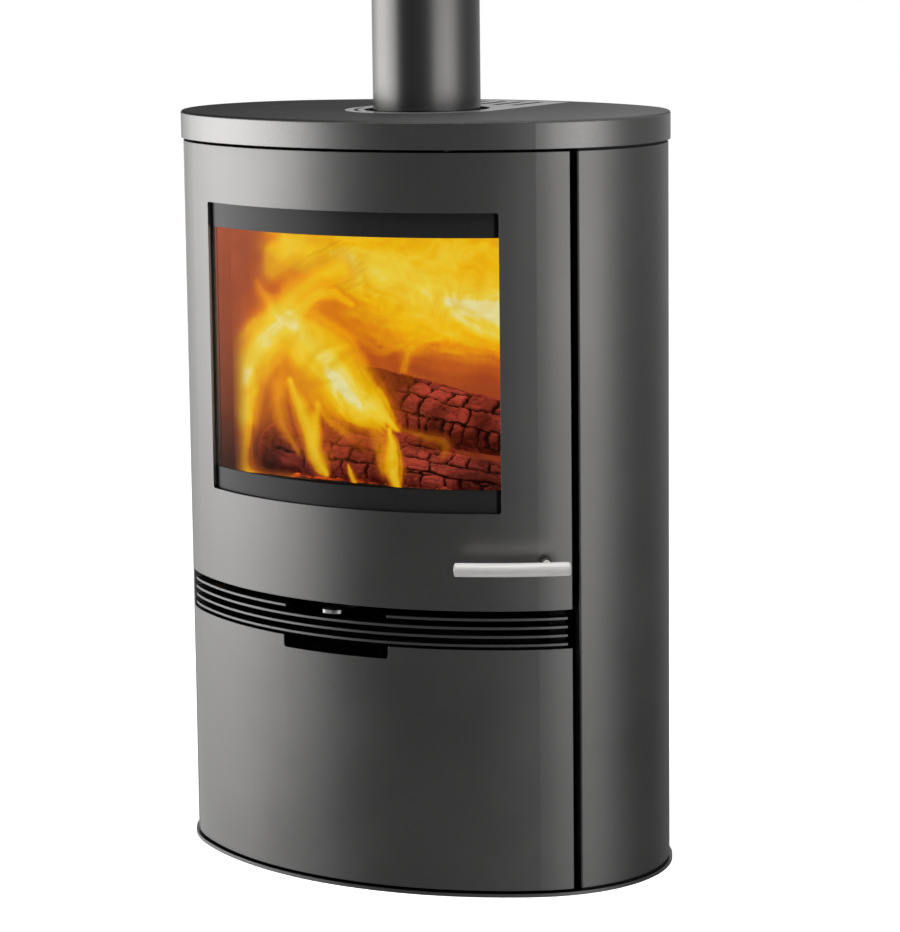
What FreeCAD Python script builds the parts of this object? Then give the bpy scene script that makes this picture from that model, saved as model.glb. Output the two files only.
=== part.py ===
import FreeCAD, Part
import Sketcher
import collections
import math
import os
import re

# A free-standing oval wood stove: steel casing, curved fire door, air lever, storage drawer and flue pipe.
# Frame: Z up, front towards -Y, origin on the floor below the middle of the casing.
# A place on the casing is given by its turn, in degrees from the front towards +X, and its depth behind the
# casing's face.

# Driving sizes in millimetres; names that end in _count are numbers of copies.
SIZES = {
    # Plan of the casing, an oval of four tangent arcs.
    "half_width": 360,
    "half_depth": 250,
    "side_radius": 200,
    # Heights, from the floor up.
    "base_thick": 5,
    "base_gap": 3,
    "drawer_height": 333,
    "louvre_height": 53,
    "door_height": 612,
    "top_gap": 4,
    "top_height": 38,
    # Clearances.
    "run_gap": 0.3,
    "pin_gap": 0.05,
    "hole_gap": 0.2,
    "overrun": 3,
    # Seams between the fronts, the side panels and the back panel.
    "seam_inset": 52,
    "seam_gap": 7,
    "back_inset": 162,
    "back_seam": 4,
    # Base plate and its levelling screws.
    "base_overhang": 4,
    "level_inset": 160,
    "level_front_inset": 120,
    "level_screw_radius": 5,
    "level_screw_length": 24,
    "level_screw_lift": 0.5,
    "level_nut_radius": 9,
    "level_nut_height": 10,
    # Side and back panels, and the two rings that they are screwed to.
    "panel_thick": 2,
    "panel_return": 15,
    "panel_bend": 3,
    "ring_thick": 3,
    "ring_height": 35,
    "vent_count": 9,
    "vent_width": 6,
    "vent_height": 70,
    "vent_margin": 55,
    "panel_screw_inset": 18,
    "panel_screw_radius": 2,
    "panel_screw_head_radius": 4.5,
    "panel_screw_head_height": 2.5,
    # Stand under the firebox, and the deck on it.
    "support_thick": 3,
    "support_front_inset": 130,
    "support_rear_inset": 110,
    "deck_inset": 23,
    "deck_thick": 4,
    # Air lever, its tab, the valve plate it turns and the pin.
    "lever_drop": 13,
    "lever_thick": 5,
    "lever_pivot": 20,
    "lever_half_width": 10,
    "lever_eye_radius": 18,
    "tab_half_width": 16,
    "tab_reach": 8,
    "tab_length": 26,
    "tab_corner": 12,
    "valve_radius": 58,
    "valve_thick": 4,
    "port_radius": 15,
    "port_x": 35,
    "lever_pin_radius": 5,
    "lever_pin_head_radius": 10,
    "lever_pin_head_height": 4,
    # Louvre bars between the door and the drawer.
    "louvre_count": 4,
    "louvre_first_gap": 10.4,
    "louvre_bar_height": 3.4,
    "louvre_pitch": 11.8,
    "louvre_set": 2,
    "louvre_depth": 12,
    "louvre_end_gap": 4,
    "lever_gap_half": 82,
    "louvre_bracket_width": 14,
    "louvre_bracket_margin": 2,
    # Firebox of welded plates.
    "front_set": 22,
    "front_thick": 4,
    "front_end_gap": 2,
    "ash_room": 89,
    "ash_opening_margin": 4,
    "ash_opening_clear": 8,
    "floor_thick": 5,
    "fire_opening_rebate": 14,
    "fire_sill": 12,
    "fire_head": 6,
    "roof_drop": 46,
    "firebox_inset": 120,
    "firebox_rear_inset": 85,
    "firebox_wall": 4,
    "roof_thick": 5,
    # Firebricks, baffle, log guard, grate and ash pan.
    "brick_thick": 30,
    "smoke_room": 80,
    "brick_front_inset": 125,
    "brick_gap": 0.3,
    "floor_brick_front_inset": 104,
    "baffle_front_inset": 210,
    "baffle_thick": 25,
    "baffle_side_gap": 2,
    "guard_end_gap": 5,
    "guard_thick": 6,
    "guard_height": 22,
    "guard_inset": 5,
    "grate_half": 90,
    "grate_thick": 20,
    "grate_rest": 14,
    "grate_slot_count": 7,
    "grate_slot_pitch": 21,
    "grate_slot_width": 9,
    "pan_side_gap": 90,
    "pan_front_inset": 80,
    "pan_rear_inset": 150,
    "pan_height": 65,
    "pan_wall": 1.5,
    # Fire door: panel, inner frame, gasket, glass, retainers and rope seal.
    "door_thick": 3,
    "window_stile": 76,
    "window_rise": 132,
    "window_head": 79,
    "window_corner": 4,
    "frame_thick": 9,
    "frame_side_margin": 36,
    "frame_margin": 24,
    "frame_clear": 2,
    "gasket_thick": 2,
    "gasket_clear": 2,
    "glass_thick": 4,
    "glass_cover": 18,
    "retainer_thick": 2,
    "retainer_grip": 10,
    "retainer_width": 11,
    "retainer_inset": 12,
    "retainer_screw_count": 3,
    "retainer_screw_radius": 1.5,
    "retainer_screw_bite": 4,
    "retainer_screw_head_radius": 3.5,
    "retainer_screw_head_height": 1.5,
    "seal_width": 9,
    # Hinges at the door's left edge.
    "hinge_inset": 8,
    "hinge_depth": 9.5,
    "hinge_pin_radius": 3.5,
    "knuckle_radius": 6,
    "knuckle_height": 30,
    "hinge_rise": 60,
    "hinge_drop": 90,
    "hinge_leaf_thick": 3,
    "hinge_leaf_gap": 0.5,
    "bracket_thick": 8,
    "bracket_half": 4,
    # Door handle and its latch.
    "handle_inset": 27,
    "handle_rise": 66.5,
    "handle_standoff": 52,
    "bar_radius": 9.2,
    "bar_left": 128,
    "bar_right": 26,
    "bar_end_round": 3,
    "boss_radius": 7.7,
    "boss_reach": 12,
    "boss_inner": 10.7,
    "shaft_radius": 5,
    "cam_thick": 5,
    "cam_length": 28,
    "cam_half_width": 7,
    "keeper_side_gap": 2,
    "keeper_drop": 12,
    "keeper_height": 20,
    "keeper_lip_thick": 3,
    "keeper_leg_start": 22,
    "keeper_leg_thick": 5,
    # Storage drawer and its runners.
    "finger_half": 84,
    "finger_depth": 17,
    "finger_corner": 4,
    "tray_inset": 105,
    "tray_rear_inset": 120,
    "tray_rise": 37,
    "tray_height": 235,
    "tray_wall": 1.5,
    "rail_height": 20,
    "rail_rise": 105,
    "rail_front_inset": 150,
    "rail_thick": 4.5,
    "runner_thick": 5.2,
    # Top plate, its grille insert and the flue.
    "top_overhang": 3,
    "top_skin": 10,
    "top_rim": 7,
    "top_edge": 4,
    "insert_half": 115,
    "insert_thick": 6,
    "insert_ledge": 5,
    "insert_gap": 0.5,
    "insert_rear": 14,
    "flue_y": 16,
    "flue_hole_radius": 88,
    "ring_slot_inner": 97,
    "ring_slot_width": 5,
    "ring_slot_web": 12,
    "ring_slot_count": 3,
    "grille_slot_count": 6,
    "grille_slot_pitch": 30,
    "grille_slot_width": 12,
    "grille_slot_start": 108,
    "grille_slot_margin": 12,
    "flue_radius": 75,
    "flue_wall": 2,
    "flue_length": 250,
    "collar_ledge": 5.3,
    "collar_wall": 3,
    "collar_height": 70,
    "collar_flange_radius": 95,
    "collar_flange_thick": 10,
    "collar_bolt_count": 4,
    "collar_bolt_radius": 3,
    "collar_bolt_head_radius": 5.5,
    "collar_bolt_head_height": 5,
}

# Sizes that follow from the driving ones.
DERIVED = {
    "side_centre": "half_width - side_radius",
    "front_radius": "(side_centre^2 + half_depth^2 - side_radius^2)/(2*(half_depth - side_radius))",
    "front_centre": "front_radius - half_depth",
    "panel_base": "base_thick + base_gap",
    "drawer_top": "panel_base + drawer_height",
    "door_base": "drawer_top + louvre_height",
    "door_top": "door_base + door_height",
    "top_base": "door_top + top_gap",
    "top_face": "top_base + top_height",
    "door_half_width": "half_width - seam_inset",
    "side_edge_x": "door_half_width + seam_gap",
    "back_half_width": "half_width - back_inset",
    "support_front": "half_depth - support_front_inset",
    "support_rear": "half_depth - support_rear_inset",
    "firebox_rear": "half_depth - firebox_rear_inset",
    "brick_front": "half_depth - brick_front_inset",
    "floor_brick_front": "half_depth - floor_brick_front_inset",
    "baffle_front": "half_depth - baffle_front_inset",
    "pan_front": "half_depth - pan_front_inset",
    "pan_rear": "half_depth - pan_rear_inset",
    "tray_rear": "half_depth - tray_rear_inset",
    "rail_front": "half_depth - rail_front_inset",
    "level_x": "half_width - level_inset",
    "level_y": "half_depth - level_front_inset",
    "vent_pitch": "2*back_half_width/(vent_count + 2)",
    "ring_depth": "panel_thick + run_gap",
    "ring_inner": "ring_depth + ring_thick",
    "panel_screw_x": "back_half_width - panel_screw_inset",
    "side_screw_x": "back_half_width + back_seam + panel_screw_inset",
    "plinth_screw_z": "base_thick + ring_height/2",
    "top_screw_z": "top_base - ring_height/2",
    "lever_base": "door_base - lever_drop",
    "lever_top": "lever_base + lever_thick",
    "valve_top": "lever_top + valve_thick",
    "deck_base": "valve_top + run_gap",
    "deck_top": "deck_base + deck_thick",
    "tab_front": "half_depth + tab_reach",
    "tab_rear": "tab_front - tab_length",
    "louvre_rear": "louvre_set + louvre_depth",
    "louvre_half_width": "door_half_width - louvre_end_gap",
    "front_half_width": "door_half_width - front_end_gap",
    "frame_half": "door_half_width - frame_side_margin",
    "window_half": "door_half_width - window_stile",
    "handle_x": "door_half_width - handle_inset",
    "fire_opening_half": "frame_half - fire_opening_rebate",
    "front_rear": "front_set + front_thick",
    "floor_base": "deck_top + ash_room",
    "floor_top": "floor_base + floor_thick",
    "roof_base": "door_top - roof_drop",
    "roof_top": "roof_base + roof_thick",
    "firebox_half": "half_width - firebox_inset",
    "firebox_side": "firebox_half + firebox_wall",
    "pan_half": "firebox_half - pan_side_gap",
    "ash_opening_half": "pan_half + ash_opening_clear",
    "firebox_back": "firebox_rear + firebox_wall",
    "brick_top": "roof_base - smoke_room",
    "brick_inner": "firebox_half - brick_thick",
    "brick_rear": "firebox_rear - brick_thick",
    "guard_half": "brick_inner - guard_end_gap",
    "window_base": "door_base + window_rise",
    "window_top": "door_top - window_head",
    "window_height": "window_top - window_base",
    "frame_rear": "door_thick + frame_thick",
    "frame_base": "door_base + frame_margin",
    "frame_top": "door_top - frame_margin",
    "gasket_rear": "door_thick + gasket_thick",
    "glass_rear": "gasket_rear + glass_thick",
    "glass_half": "window_half + glass_cover",
    "glass_base": "window_base - glass_cover",
    "glass_top": "window_top + glass_cover",
    "retainer_rear": "frame_rear + retainer_thick",
    "retainer_outer": "glass_half + hole_gap + retainer_width",
    "retainer_screw_x": "glass_half + hole_gap + retainer_width/2",
    "seal_rear": "front_set - run_gap",
    "lower_knuckle_base": "door_base + hinge_rise",
    "upper_knuckle_base": "door_top - hinge_drop",
    "handle_z": "door_base + handle_rise",
    "cam_depth": "boss_inner + run_gap",
    "cam_rear": "cam_depth + cam_thick",
    "keeper_top": "handle_z - keeper_drop",
    "keeper_base": "keeper_top - keeper_height",
    "keeper_lip_start": "cam_half_width + keeper_side_gap",
    "keeper_sag": "keeper_leg_start^2/(2*(side_radius - cam_depth))",
    "keeper_lip_rear": "cam_depth - run_gap - keeper_sag",
    "keeper_lip_front": "keeper_lip_rear - keeper_lip_thick",
    "tray_base": "panel_base + tray_rise",
    "tray_top": "tray_base + tray_height",
    "rail_base": "tray_base + rail_rise",
    "tray_half": "half_width - tray_inset",
    "rail_outer": "tray_half + rail_thick",
    "support_x": "rail_outer + run_gap + runner_thick",
    "insert_base": "top_face - insert_thick",
    "flue_bore": "flue_radius - flue_wall",
    "collar_socket": "flue_radius + run_gap",
    "collar_radius": "collar_socket + collar_wall",
    "collar_bore": "flue_radius - collar_ledge",
    "collar_seat": "roof_top + collar_flange_thick",
    "collar_top": "roof_top + collar_height",
    "collar_bolt_circle": "(collar_radius + collar_flange_radius)/2",
}

# Angles in degrees.
QUARTER_TURN = 90
HALF_TURN = 180
FULL_TURN = 360

UP = FreeCAD.Vector(0, 0, 1)
STRAIGHT_LIMIT = 1e-6

doc = FreeCAD.newDocument("wood_stove")
sheet = doc.addObject("Spreadsheet::Sheet", "sizes")
for row, (alias, number) in enumerate(SIZES.items(), 1):
    sheet.set(f"A{row}", alias)
    sheet.set(f"B{row}", str(number))
    sheet.setAlias(f"B{row}", alias)
doc.recompute()

nodes = []
Edge = collections.namedtuple("Edge", "curve first last radius")


def ex(text):
    """The expression with every named size spelled out as a cell of the sheet."""

    def spell(match):
        word = match.group()
        if word in DERIVED:
            return f"({ex(DERIVED[word])})"
        return f"sizes.{word}" if word in SIZES else word

    return re.sub(r"[a-z_]+", spell, text)


def value(text):
    """The number that an expression of named sizes stands for."""
    return float(sheet.evalExpression(ex(text)))


SIDE_X = value("side_centre")
FRONT_Y = value("front_centre")
FRONT_R = value("front_radius")
SIDE_R = value("side_radius")
JOIN = math.degrees(math.atan2(SIDE_X, FRONT_Y))

# The oval's arcs: first turn, last turn, centre and radius.
ARCS = [
    (JOIN - HALF_TURN, -JOIN, -SIDE_X, 0, "side_radius"),
    (-JOIN, JOIN, 0, FRONT_Y, "front_radius"),
    (JOIN, HALF_TURN - JOIN, SIDE_X, 0, "side_radius"),
    (HALF_TURN - JOIN, HALF_TURN + JOIN, 0, -FRONT_Y, "front_radius"),
    (HALF_TURN + JOIN, FULL_TURN - JOIN, -SIDE_X, 0, "side_radius"),
    (FULL_TURN - JOIN, FULL_TURN + JOIN, 0, FRONT_Y, "front_radius"),
]
ROUND = (-JOIN, FULL_TURN - JOIN)


def turn_at(text):
    """The turn of the point on the casing's front half at a given X."""
    x = value(text)
    if abs(x) <= FRONT_R*math.sin(math.radians(JOIN)):
        return math.degrees(math.asin(x/FRONT_R))
    return math.copysign(math.degrees(math.asin((abs(x) - SIDE_X)/SIDE_R)), x)


def oval_point(turn, depth):
    """The plan point at a turn and a depth behind the casing."""
    for first, last, x, y, radius in ARCS:
        if first <= turn <= last:
            reach = value(radius) - depth
            angle = math.radians(turn)
            return FreeCAD.Vector(x + reach*math.sin(angle), y - reach*math.cos(angle), 0)
    raise ValueError(f"turn {turn} is not on the oval")


def line(start, end):
    return Edge(Part.LineSegment(start, end), 1, 2, None)


def arc(x, y, radius, start, end):
    """An arc between two turns; it is travelled backwards where the end comes before the start."""
    low, high = sorted((start, end))
    circle = Part.Circle(FreeCAD.Vector(x, y, 0), UP, value(radius))
    curve = Part.ArcOfCircle(circle, math.radians(low - QUARTER_TURN), math.radians(high - QUARTER_TURN))
    return Edge(curve, 1, 2, radius) if start < end else Edge(curve, 2, 1, radius)


def oval_arcs(start, stop, depth):
    """The arcs of the oval at a depth between two turns."""
    edges = []
    for first, last, x, y, radius in ARCS:
        low, high = max(first, start), min(last, stop)
        if low < high:
            edges.append(arc(x, y, f"{radius} - ({depth})", low, high))
    return edges


def backwards(edges):
    return [Edge(e.curve, e.last, e.first, e.radius) for e in reversed(edges)]


def keep(label, obj):
    """Names a finished sub-part and lists it."""
    obj.Label = label
    nodes.append(obj)
    return obj


def padded(name, edges, low, high):
    """A body padded up from a closed outline drawn in plan."""
    body = doc.addObject("PartDesign::Body", name)
    sketch = body.newObject("Sketcher::SketchObject", f"{name}_plan")
    plane = next(f for f in body.Origin.OriginFeatures if f.Role == "XY_Plane")
    sketch.AttachmentSupport = (plane, [""])
    sketch.MapMode = "FlatFace"
    ids = [sketch.addGeometry(edge.curve, False) for edge in edges]
    for place, edge in enumerate(edges):
        after = (place + 1) % len(edges)
        ends = (ids[place], edge.last, ids[after], edges[after].first)
        sketch.addConstraint(Sketcher.Constraint("Coincident", *ends))
    for place, edge in enumerate(edges):
        if edge.radius:
            radius = sketch.addConstraint(Sketcher.Constraint("Radius", ids[place], value(edge.radius)))
            sketch.renameConstraint(radius, f"radius_of_{place}")
            sketch.setExpression(f"Constraints.radius_of_{place}", ex(edge.radius))
    pad = body.newObject("PartDesign::Pad", f"{name}_pad")
    pad.Profile = sketch
    pad.setExpression("Length", ex(f"({high}) - ({low})"))
    body.setExpression("Placement.Base.z", ex(low))
    doc.recompute()
    return body


def rounded(body, radius, picked):
    """Rounds the edges of a body that a test picks."""
    solid = body.Tip
    names = [f"Edge{n}" for n, edge in enumerate(solid.Shape.Edges, 1) if picked(edge)]
    fillet = body.newObject("PartDesign::Fillet", f"{body.Name}_round")
    fillet.Base = (solid, names)
    fillet.setExpression("Radius", ex(radius))
    doc.recompute()
    return body


def is_level_line(edge):
    """True for a straight edge that runs level, such as a band's end edge."""
    ends = edge.Vertexes
    return isinstance(edge.Curve, Part.Line) and abs(ends[0].Z - ends[-1].Z) < STRAIGHT_LIMIT


def is_bottom_line(edge):
    return is_level_line(edge) and abs(edge.Vertexes[0].Z) < STRAIGHT_LIMIT


def softened(name, solid, radius, corner):
    """The solid with its upright edges at a plan point rounded."""
    doc.recompute()

    def at_corner(edge):
        return all(math.hypot(v.X - corner.x, v.Y - corner.y) < STRAIGHT_LIMIT for v in edge.Vertexes)

    fillet = doc.addObject("Part::Fillet", name)
    fillet.Base = solid
    picked = [number for number, edge in enumerate(solid.Shape.Edges, 1) if at_corner(edge)]
    fillet.Edges = [(number, value(radius), value(radius)) for number in picked]
    return fillet


def oval(name, depth, low, high):
    """An oval plate whose edge lies at a depth behind the casing."""
    return padded(name, oval_arcs(*ROUND, depth), low, high)


def band(name, start, stop, outer, inner, low, high):
    """A wall that follows the casing between two turns and two depths."""
    near, far = value(outer), value(inner)
    edges = oval_arcs(start, stop, outer)
    edges.append(line(oval_point(stop, near), oval_point(stop, far)))
    edges += backwards(oval_arcs(start, stop, inner))
    edges.append(line(oval_point(start, far), oval_point(start, near)))
    return padded(name, edges, low, high)


def window_band(name, half, outer, inner, low, high):
    """A band centred on the front, as wide as its half width on the casing."""
    reach = turn_at(half)
    return band(name, -reach, reach, outer, inner, low, high)


def box(name, x, y, z):
    """A block between two corners given as pairs of expressions."""
    block = doc.addObject("Part::Box", name)
    for side, axis, (low, high) in zip(("Length", "Width", "Height"), "xyz", (x, y, z)):
        block.setExpression(side, ex(f"({high}) - ({low})"))
        block.setExpression(f"Placement.Base.{axis}", ex(low))
    return block


def across(half):
    """A pair of expressions as far to the left as to the right."""
    return f"-({half})", half


def turned_box(name, turn, side, depth, z):
    """A block square to the casing at a turn: side runs along the casing and depth runs inwards."""
    block = doc.addObject("Part::Box", name)
    for length, (low, high) in zip(("Length", "Width", "Height"), (side, depth, z)):
        block.setExpression(length, ex(f"({high}) - ({low})"))
    rotation = FreeCAD.Rotation(UP, turn)
    along = rotation.multVec(FreeCAD.Vector(value(side[0]), 0, 0))
    block.Placement = FreeCAD.Placement(oval_point(turn, value(depth[0])) + along, rotation)
    block.setExpression("Placement.Base.z", ex(z[0]))
    return block


def cylinder(name, radius, x, y, z):
    """An upright cylinder between two heights."""
    post = doc.addObject("Part::Cylinder", name)
    post.setExpression("Radius", ex(radius))
    post.setExpression("Height", ex(f"({z[1]}) - ({z[0]})"))
    for axis, place in zip("xyz", (x, y, z[0])):
        post.setExpression(f"Placement.Base.{axis}", ex(place))
    return post


def upright_at(name, radius, turn, depth, z):
    """An upright cylinder at a turn and a depth behind the casing."""
    post = doc.addObject("Part::Cylinder", name)
    post.setExpression("Radius", ex(radius))
    post.setExpression("Height", ex(f"({z[1]}) - ({z[0]})"))
    post.Placement.Base = oval_point(turn, value(depth))
    post.setExpression("Placement.Base.z", ex(z[0]))
    return post


def spindle(name, radius, turn, depth, height):
    """A cylinder square to the casing at a turn, between two depths."""
    rod = doc.addObject("Part::Cylinder", name)
    rod.setExpression("Radius", ex(radius))
    rod.setExpression("Height", ex(f"({depth[1]}) - ({depth[0]})"))
    outwards = FreeCAD.Rotation(UP, turn).multVec(FreeCAD.Vector(0, -1, 0))
    rod.Placement = FreeCAD.Placement(oval_point(turn, value(depth[1])), FreeCAD.Rotation(UP, outwards))
    rod.setExpression("Placement.Base.z", ex(height))
    return rod


def group(name, pieces):
    gathered = doc.addObject("Part::Compound", name)
    gathered.Links = list(pieces)
    return gathered


def cut(name, base, *tools):
    result = doc.addObject("Part::Cut", name)
    result.Base = base
    result.Tool = tools[0] if len(tools) == 1 else group(f"{name}_tools", tools)
    return result


def fuse(name, *pieces):
    result = doc.addObject("Part::MultiFuse", name)
    result.Shapes = list(pieces)
    return result


def common(name, *pieces):
    result = doc.addObject("Part::MultiCommon", name)
    result.Shapes = list(pieces)
    return result


def mirrored(name, source):
    """The piece's mirror image on the other side of the stove."""
    copy = doc.addObject("Part::Mirroring", name)
    copy.Source = source
    copy.Normal = FreeCAD.Vector(1, 0, 0)
    return copy


def spread(count, pitch):
    """Expressions for the places of a row of copies, centred on zero."""
    total = int(value(count))
    return [f"({place} - ({count} - 1)/2)*({pitch})" for place in range(total)]


# Turns of the seams and of the pieces that stand square to the casing.
SEAM_TURN = turn_at("door_half_width")
SIDE_TURN = turn_at("side_edge_x")
BACK_TURN = HALF_TURN - turn_at("back_half_width")
SIDE_END_TURN = HALF_TURN - turn_at("back_half_width + back_seam")
HINGE_TURN = -(SEAM_TURN - math.degrees(value("hinge_inset/side_radius")))
HANDLE_TURN = turn_at("handle_x")


def base():
    """Base plate on the floor, with four levelling screws in nuts welded to it."""
    places = [(x, y) for x in ("level_x", "-level_x") for y in ("level_y", "-level_y")]
    plate = oval("base_blank", "-base_overhang", "base_thick*0", "base_thick")
    holes, screws, nuts = [], [], []
    for number, (x, y) in enumerate(places):
        through = ("-overrun", "base_thick + level_nut_height + overrun")
        screw_span = ("level_screw_lift", "level_screw_lift + level_screw_length")
        hole = cylinder(f"level_hole_{number}", "level_screw_radius + hole_gap", x, y, through)
        screws.append(cylinder(f"level_screw_{number}", "level_screw_radius", x, y, screw_span))
        nut = doc.addObject("Part::Prism", f"level_nut_blank_{number}")
        nut.setExpression("Circumradius", ex("level_nut_radius"))
        nut.setExpression("Height", ex("level_nut_height"))
        for axis, place in zip("xyz", (x, y, "base_thick")):
            nut.setExpression(f"Placement.Base.{axis}", ex(place))
        nuts.append(cut(f"level_nut_{number}", nut, hole))
        holes.append(hole)
    keep("base_plate", cut("base_cut", plate, *holes))
    keep("levelling_screws", group("level_screws", screws))
    keep("levelling_nuts", group("level_nuts", nuts))


def panel_screw_turns():
    """Turns of the screw columns: two in the back panel and one in each side panel."""
    inner, outer = turn_at("panel_screw_x"), turn_at("side_screw_x")
    return [HALF_TURN - outer, HALF_TURN - inner, HALF_TURN + inner, HALF_TURN + outer]


def casing():
    """Side panels with a return along the front seam, vented back panel, the two rings and the screws."""
    screws, holes = [], []
    for column, turn in enumerate(panel_screw_turns()):
        for row, height in enumerate(("plinth_screw_z", "top_screw_z")):
            place = f"{column}_{row}"
            head_depth, shank_depth = ("-panel_screw_head_height", "0"), ("0", "ring_inner")
            hole_depth = ("-overrun", "ring_inner + overrun")
            head = spindle(f"panel_head_{place}", "panel_screw_head_radius", turn, head_depth, height)
            shank = spindle(f"panel_shank_{place}", "panel_screw_radius", turn, shank_depth, height)
            screws.append(fuse(f"panel_screw_{place}", head, shank))
            hole_radius = "panel_screw_radius + hole_gap"
            holes.append(spindle(f"panel_hole_{place}", hole_radius, turn, hole_depth, height))
    bored = group("panel_holes", holes)

    skin = band("side_skin", SIDE_TURN, SIDE_END_TURN, "0", "panel_thick", "panel_base", "door_top")
    return_turn = SIDE_TURN + math.degrees(value("panel_thick/side_radius"))
    depth = ("panel_thick", "panel_return")
    edge = band("side_return", SIDE_TURN, return_turn, *depth, "panel_base", "door_top")
    folded = fuse("side_folded", skin, edge)
    bent = softened("side_bent", folded, "panel_bend", oval_point(SIDE_TURN, 0))
    side = cut("right_side_cut", bent, bored)
    keep("right_side_panel", side)
    keep("left_side_panel", mirrored("left_side_mirror", side))

    back = band("back_blank", BACK_TURN, FULL_TURN - BACK_TURN, "0", "panel_thick", "panel_base", "door_top")
    rows = ("panel_base + vent_margin", "door_top - vent_margin - vent_height")
    vents = []
    for row, low in enumerate(rows):
        for column, x in enumerate(spread("vent_count", "vent_pitch")):
            x_span = (f"{x} - vent_width/2", f"{x} + vent_width/2")
            z_span = (low, f"{low} + vent_height")
            vents.append(box(f"vent_{row}_{column}", x_span, ("0", "half_depth + overrun"), z_span))
    keep("back_panel", cut("back_cut", back, bored, *vents))

    ends = (return_turn, FULL_TURN - return_turn)
    plinth = ("plinth_ring", "base_thick", "base_thick + ring_height")
    for name, low, high in (plinth, ("top_ring", "top_base - ring_height", "top_base")):
        ring = band(f"{name}_blank", *ends, "ring_depth", "ring_inner", low, high)
        keep(name, cut(f"{name}_cut", ring, bored))
    keep("panel_screws", group("panel_screw_group", screws))


def stand():
    """Support walls that carry the deck, and the deck plate with its air ports."""
    y_span, z_span = ("-support_front", "support_rear"), ("base_thick", "deck_base")
    wall = box("right_support_wall", ("support_x", "support_x + support_thick"), y_span, z_span)
    keep("right_support", wall)
    keep("left_support", mirrored("left_support_mirror", wall))
    rear_span = ("support_rear", "support_rear + support_thick")
    keep("rear_support", box("rear_support_wall", across("support_x + support_thick"), rear_span, z_span))

    through = ("lever_base - overrun", "deck_top + overrun")
    plate = oval("deck_blank", "deck_inset", "deck_base", "deck_top")
    hole = cylinder("deck_pin_hole", "lever_pin_radius", "0", "-lever_pivot", through)
    keep("deck_plate", cut("deck_cut", plate, hole, *air_ports("deck", through)))


def air_ports(name, z):
    """The two round air ports that the deck and the valve plate share."""
    places = enumerate(across("port_x"))
    return [cylinder(f"{name}_port_{n}", "port_radius", x, "-lever_pivot", z) for n, x in places]


def air_control():
    """Lever with its polished tab, the valve plate on it and the pin that both turn on."""
    through = ("lever_base - overrun", "deck_top + overrun")
    flat = ("lever_base", "lever_top")
    bore = cylinder("lever_bore", "lever_pin_radius + pin_gap", "0", "-lever_pivot", through)
    arm = box("lever_arm", across("lever_half_width"), ("-tab_rear", "-lever_pivot"), flat)
    eye = cylinder("lever_eye", "lever_eye_radius", "0", "-lever_pivot", flat)
    keep("air_lever", cut("lever_cut", fuse("lever_flat", arm, eye), bore))

    half, front, rear = value("tab_half_width"), -value("tab_front"), -value("tab_rear")
    corners = [(-half, front), (half, front), (half, rear), (-half, rear)]
    points = [FreeCAD.Vector(x, y, 0) for x, y in corners]
    sides = [line(points[n - 1], points[n]) for n in range(len(points))]
    tab = padded("tab_blank", sides, *flat)

    def is_front_corner(edge):
        ends = edge.Vertexes
        return abs(ends[0].Y - front) + abs(ends[-1].Y - front) < STRAIGHT_LIMIT and not is_level_line(edge)

    keep("lever_tab", rounded(tab, "tab_corner", is_front_corner))

    disc = cylinder("valve_disc", "valve_radius", "0", "-lever_pivot", ("lever_top", "valve_top"))
    keep("valve_plate", cut("valve_cut", disc, bore, *air_ports("valve", through)))

    head_top = "lever_base - run_gap"
    head_span = (f"{head_top} - lever_pin_head_height", head_top)
    head = cylinder("lever_pin_head", "lever_pin_head_radius", "0", "-lever_pivot", head_span)
    shank = cylinder("lever_pin_shank", "lever_pin_radius", "0", "-lever_pivot", (head_top, "deck_top"))
    keep("lever_pin", fuse("lever_pin_whole", head, shank))


def louvre():
    """Curved bars with a gap for the lever in the top one, and the bracket that holds their ends."""
    end, gap = turn_at("louvre_half_width"), turn_at("lever_gap_half")
    bars = []
    for number in range(int(value("louvre_count"))):
        high = f"door_base - louvre_first_gap - {number}*louvre_pitch"
        low = f"{high} - louvre_bar_height"
        spans = [(-end, -gap), (gap, end)] if number == 0 else [(-end, end)]
        for side, (start, stop) in enumerate(spans):
            name = f"louvre_bar_{number}_{side}"
            bars.append(band(name, start, stop, "louvre_set", "louvre_rear", low, high))
    keep("louvre_bars", group("louvre_bar_group", bars))

    inner = turn_at("louvre_half_width - louvre_bracket_width")
    low, high = "drawer_top + louvre_bracket_margin", "door_base - louvre_bracket_margin"
    bracket = band("louvre_bracket", inner, end, "louvre_rear", "deck_inset", low, high)
    brackets = (bracket, mirrored("louvre_bracket_mirror", bracket))
    keep("louvre_brackets", group("louvre_bracket_pair", brackets))


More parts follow.
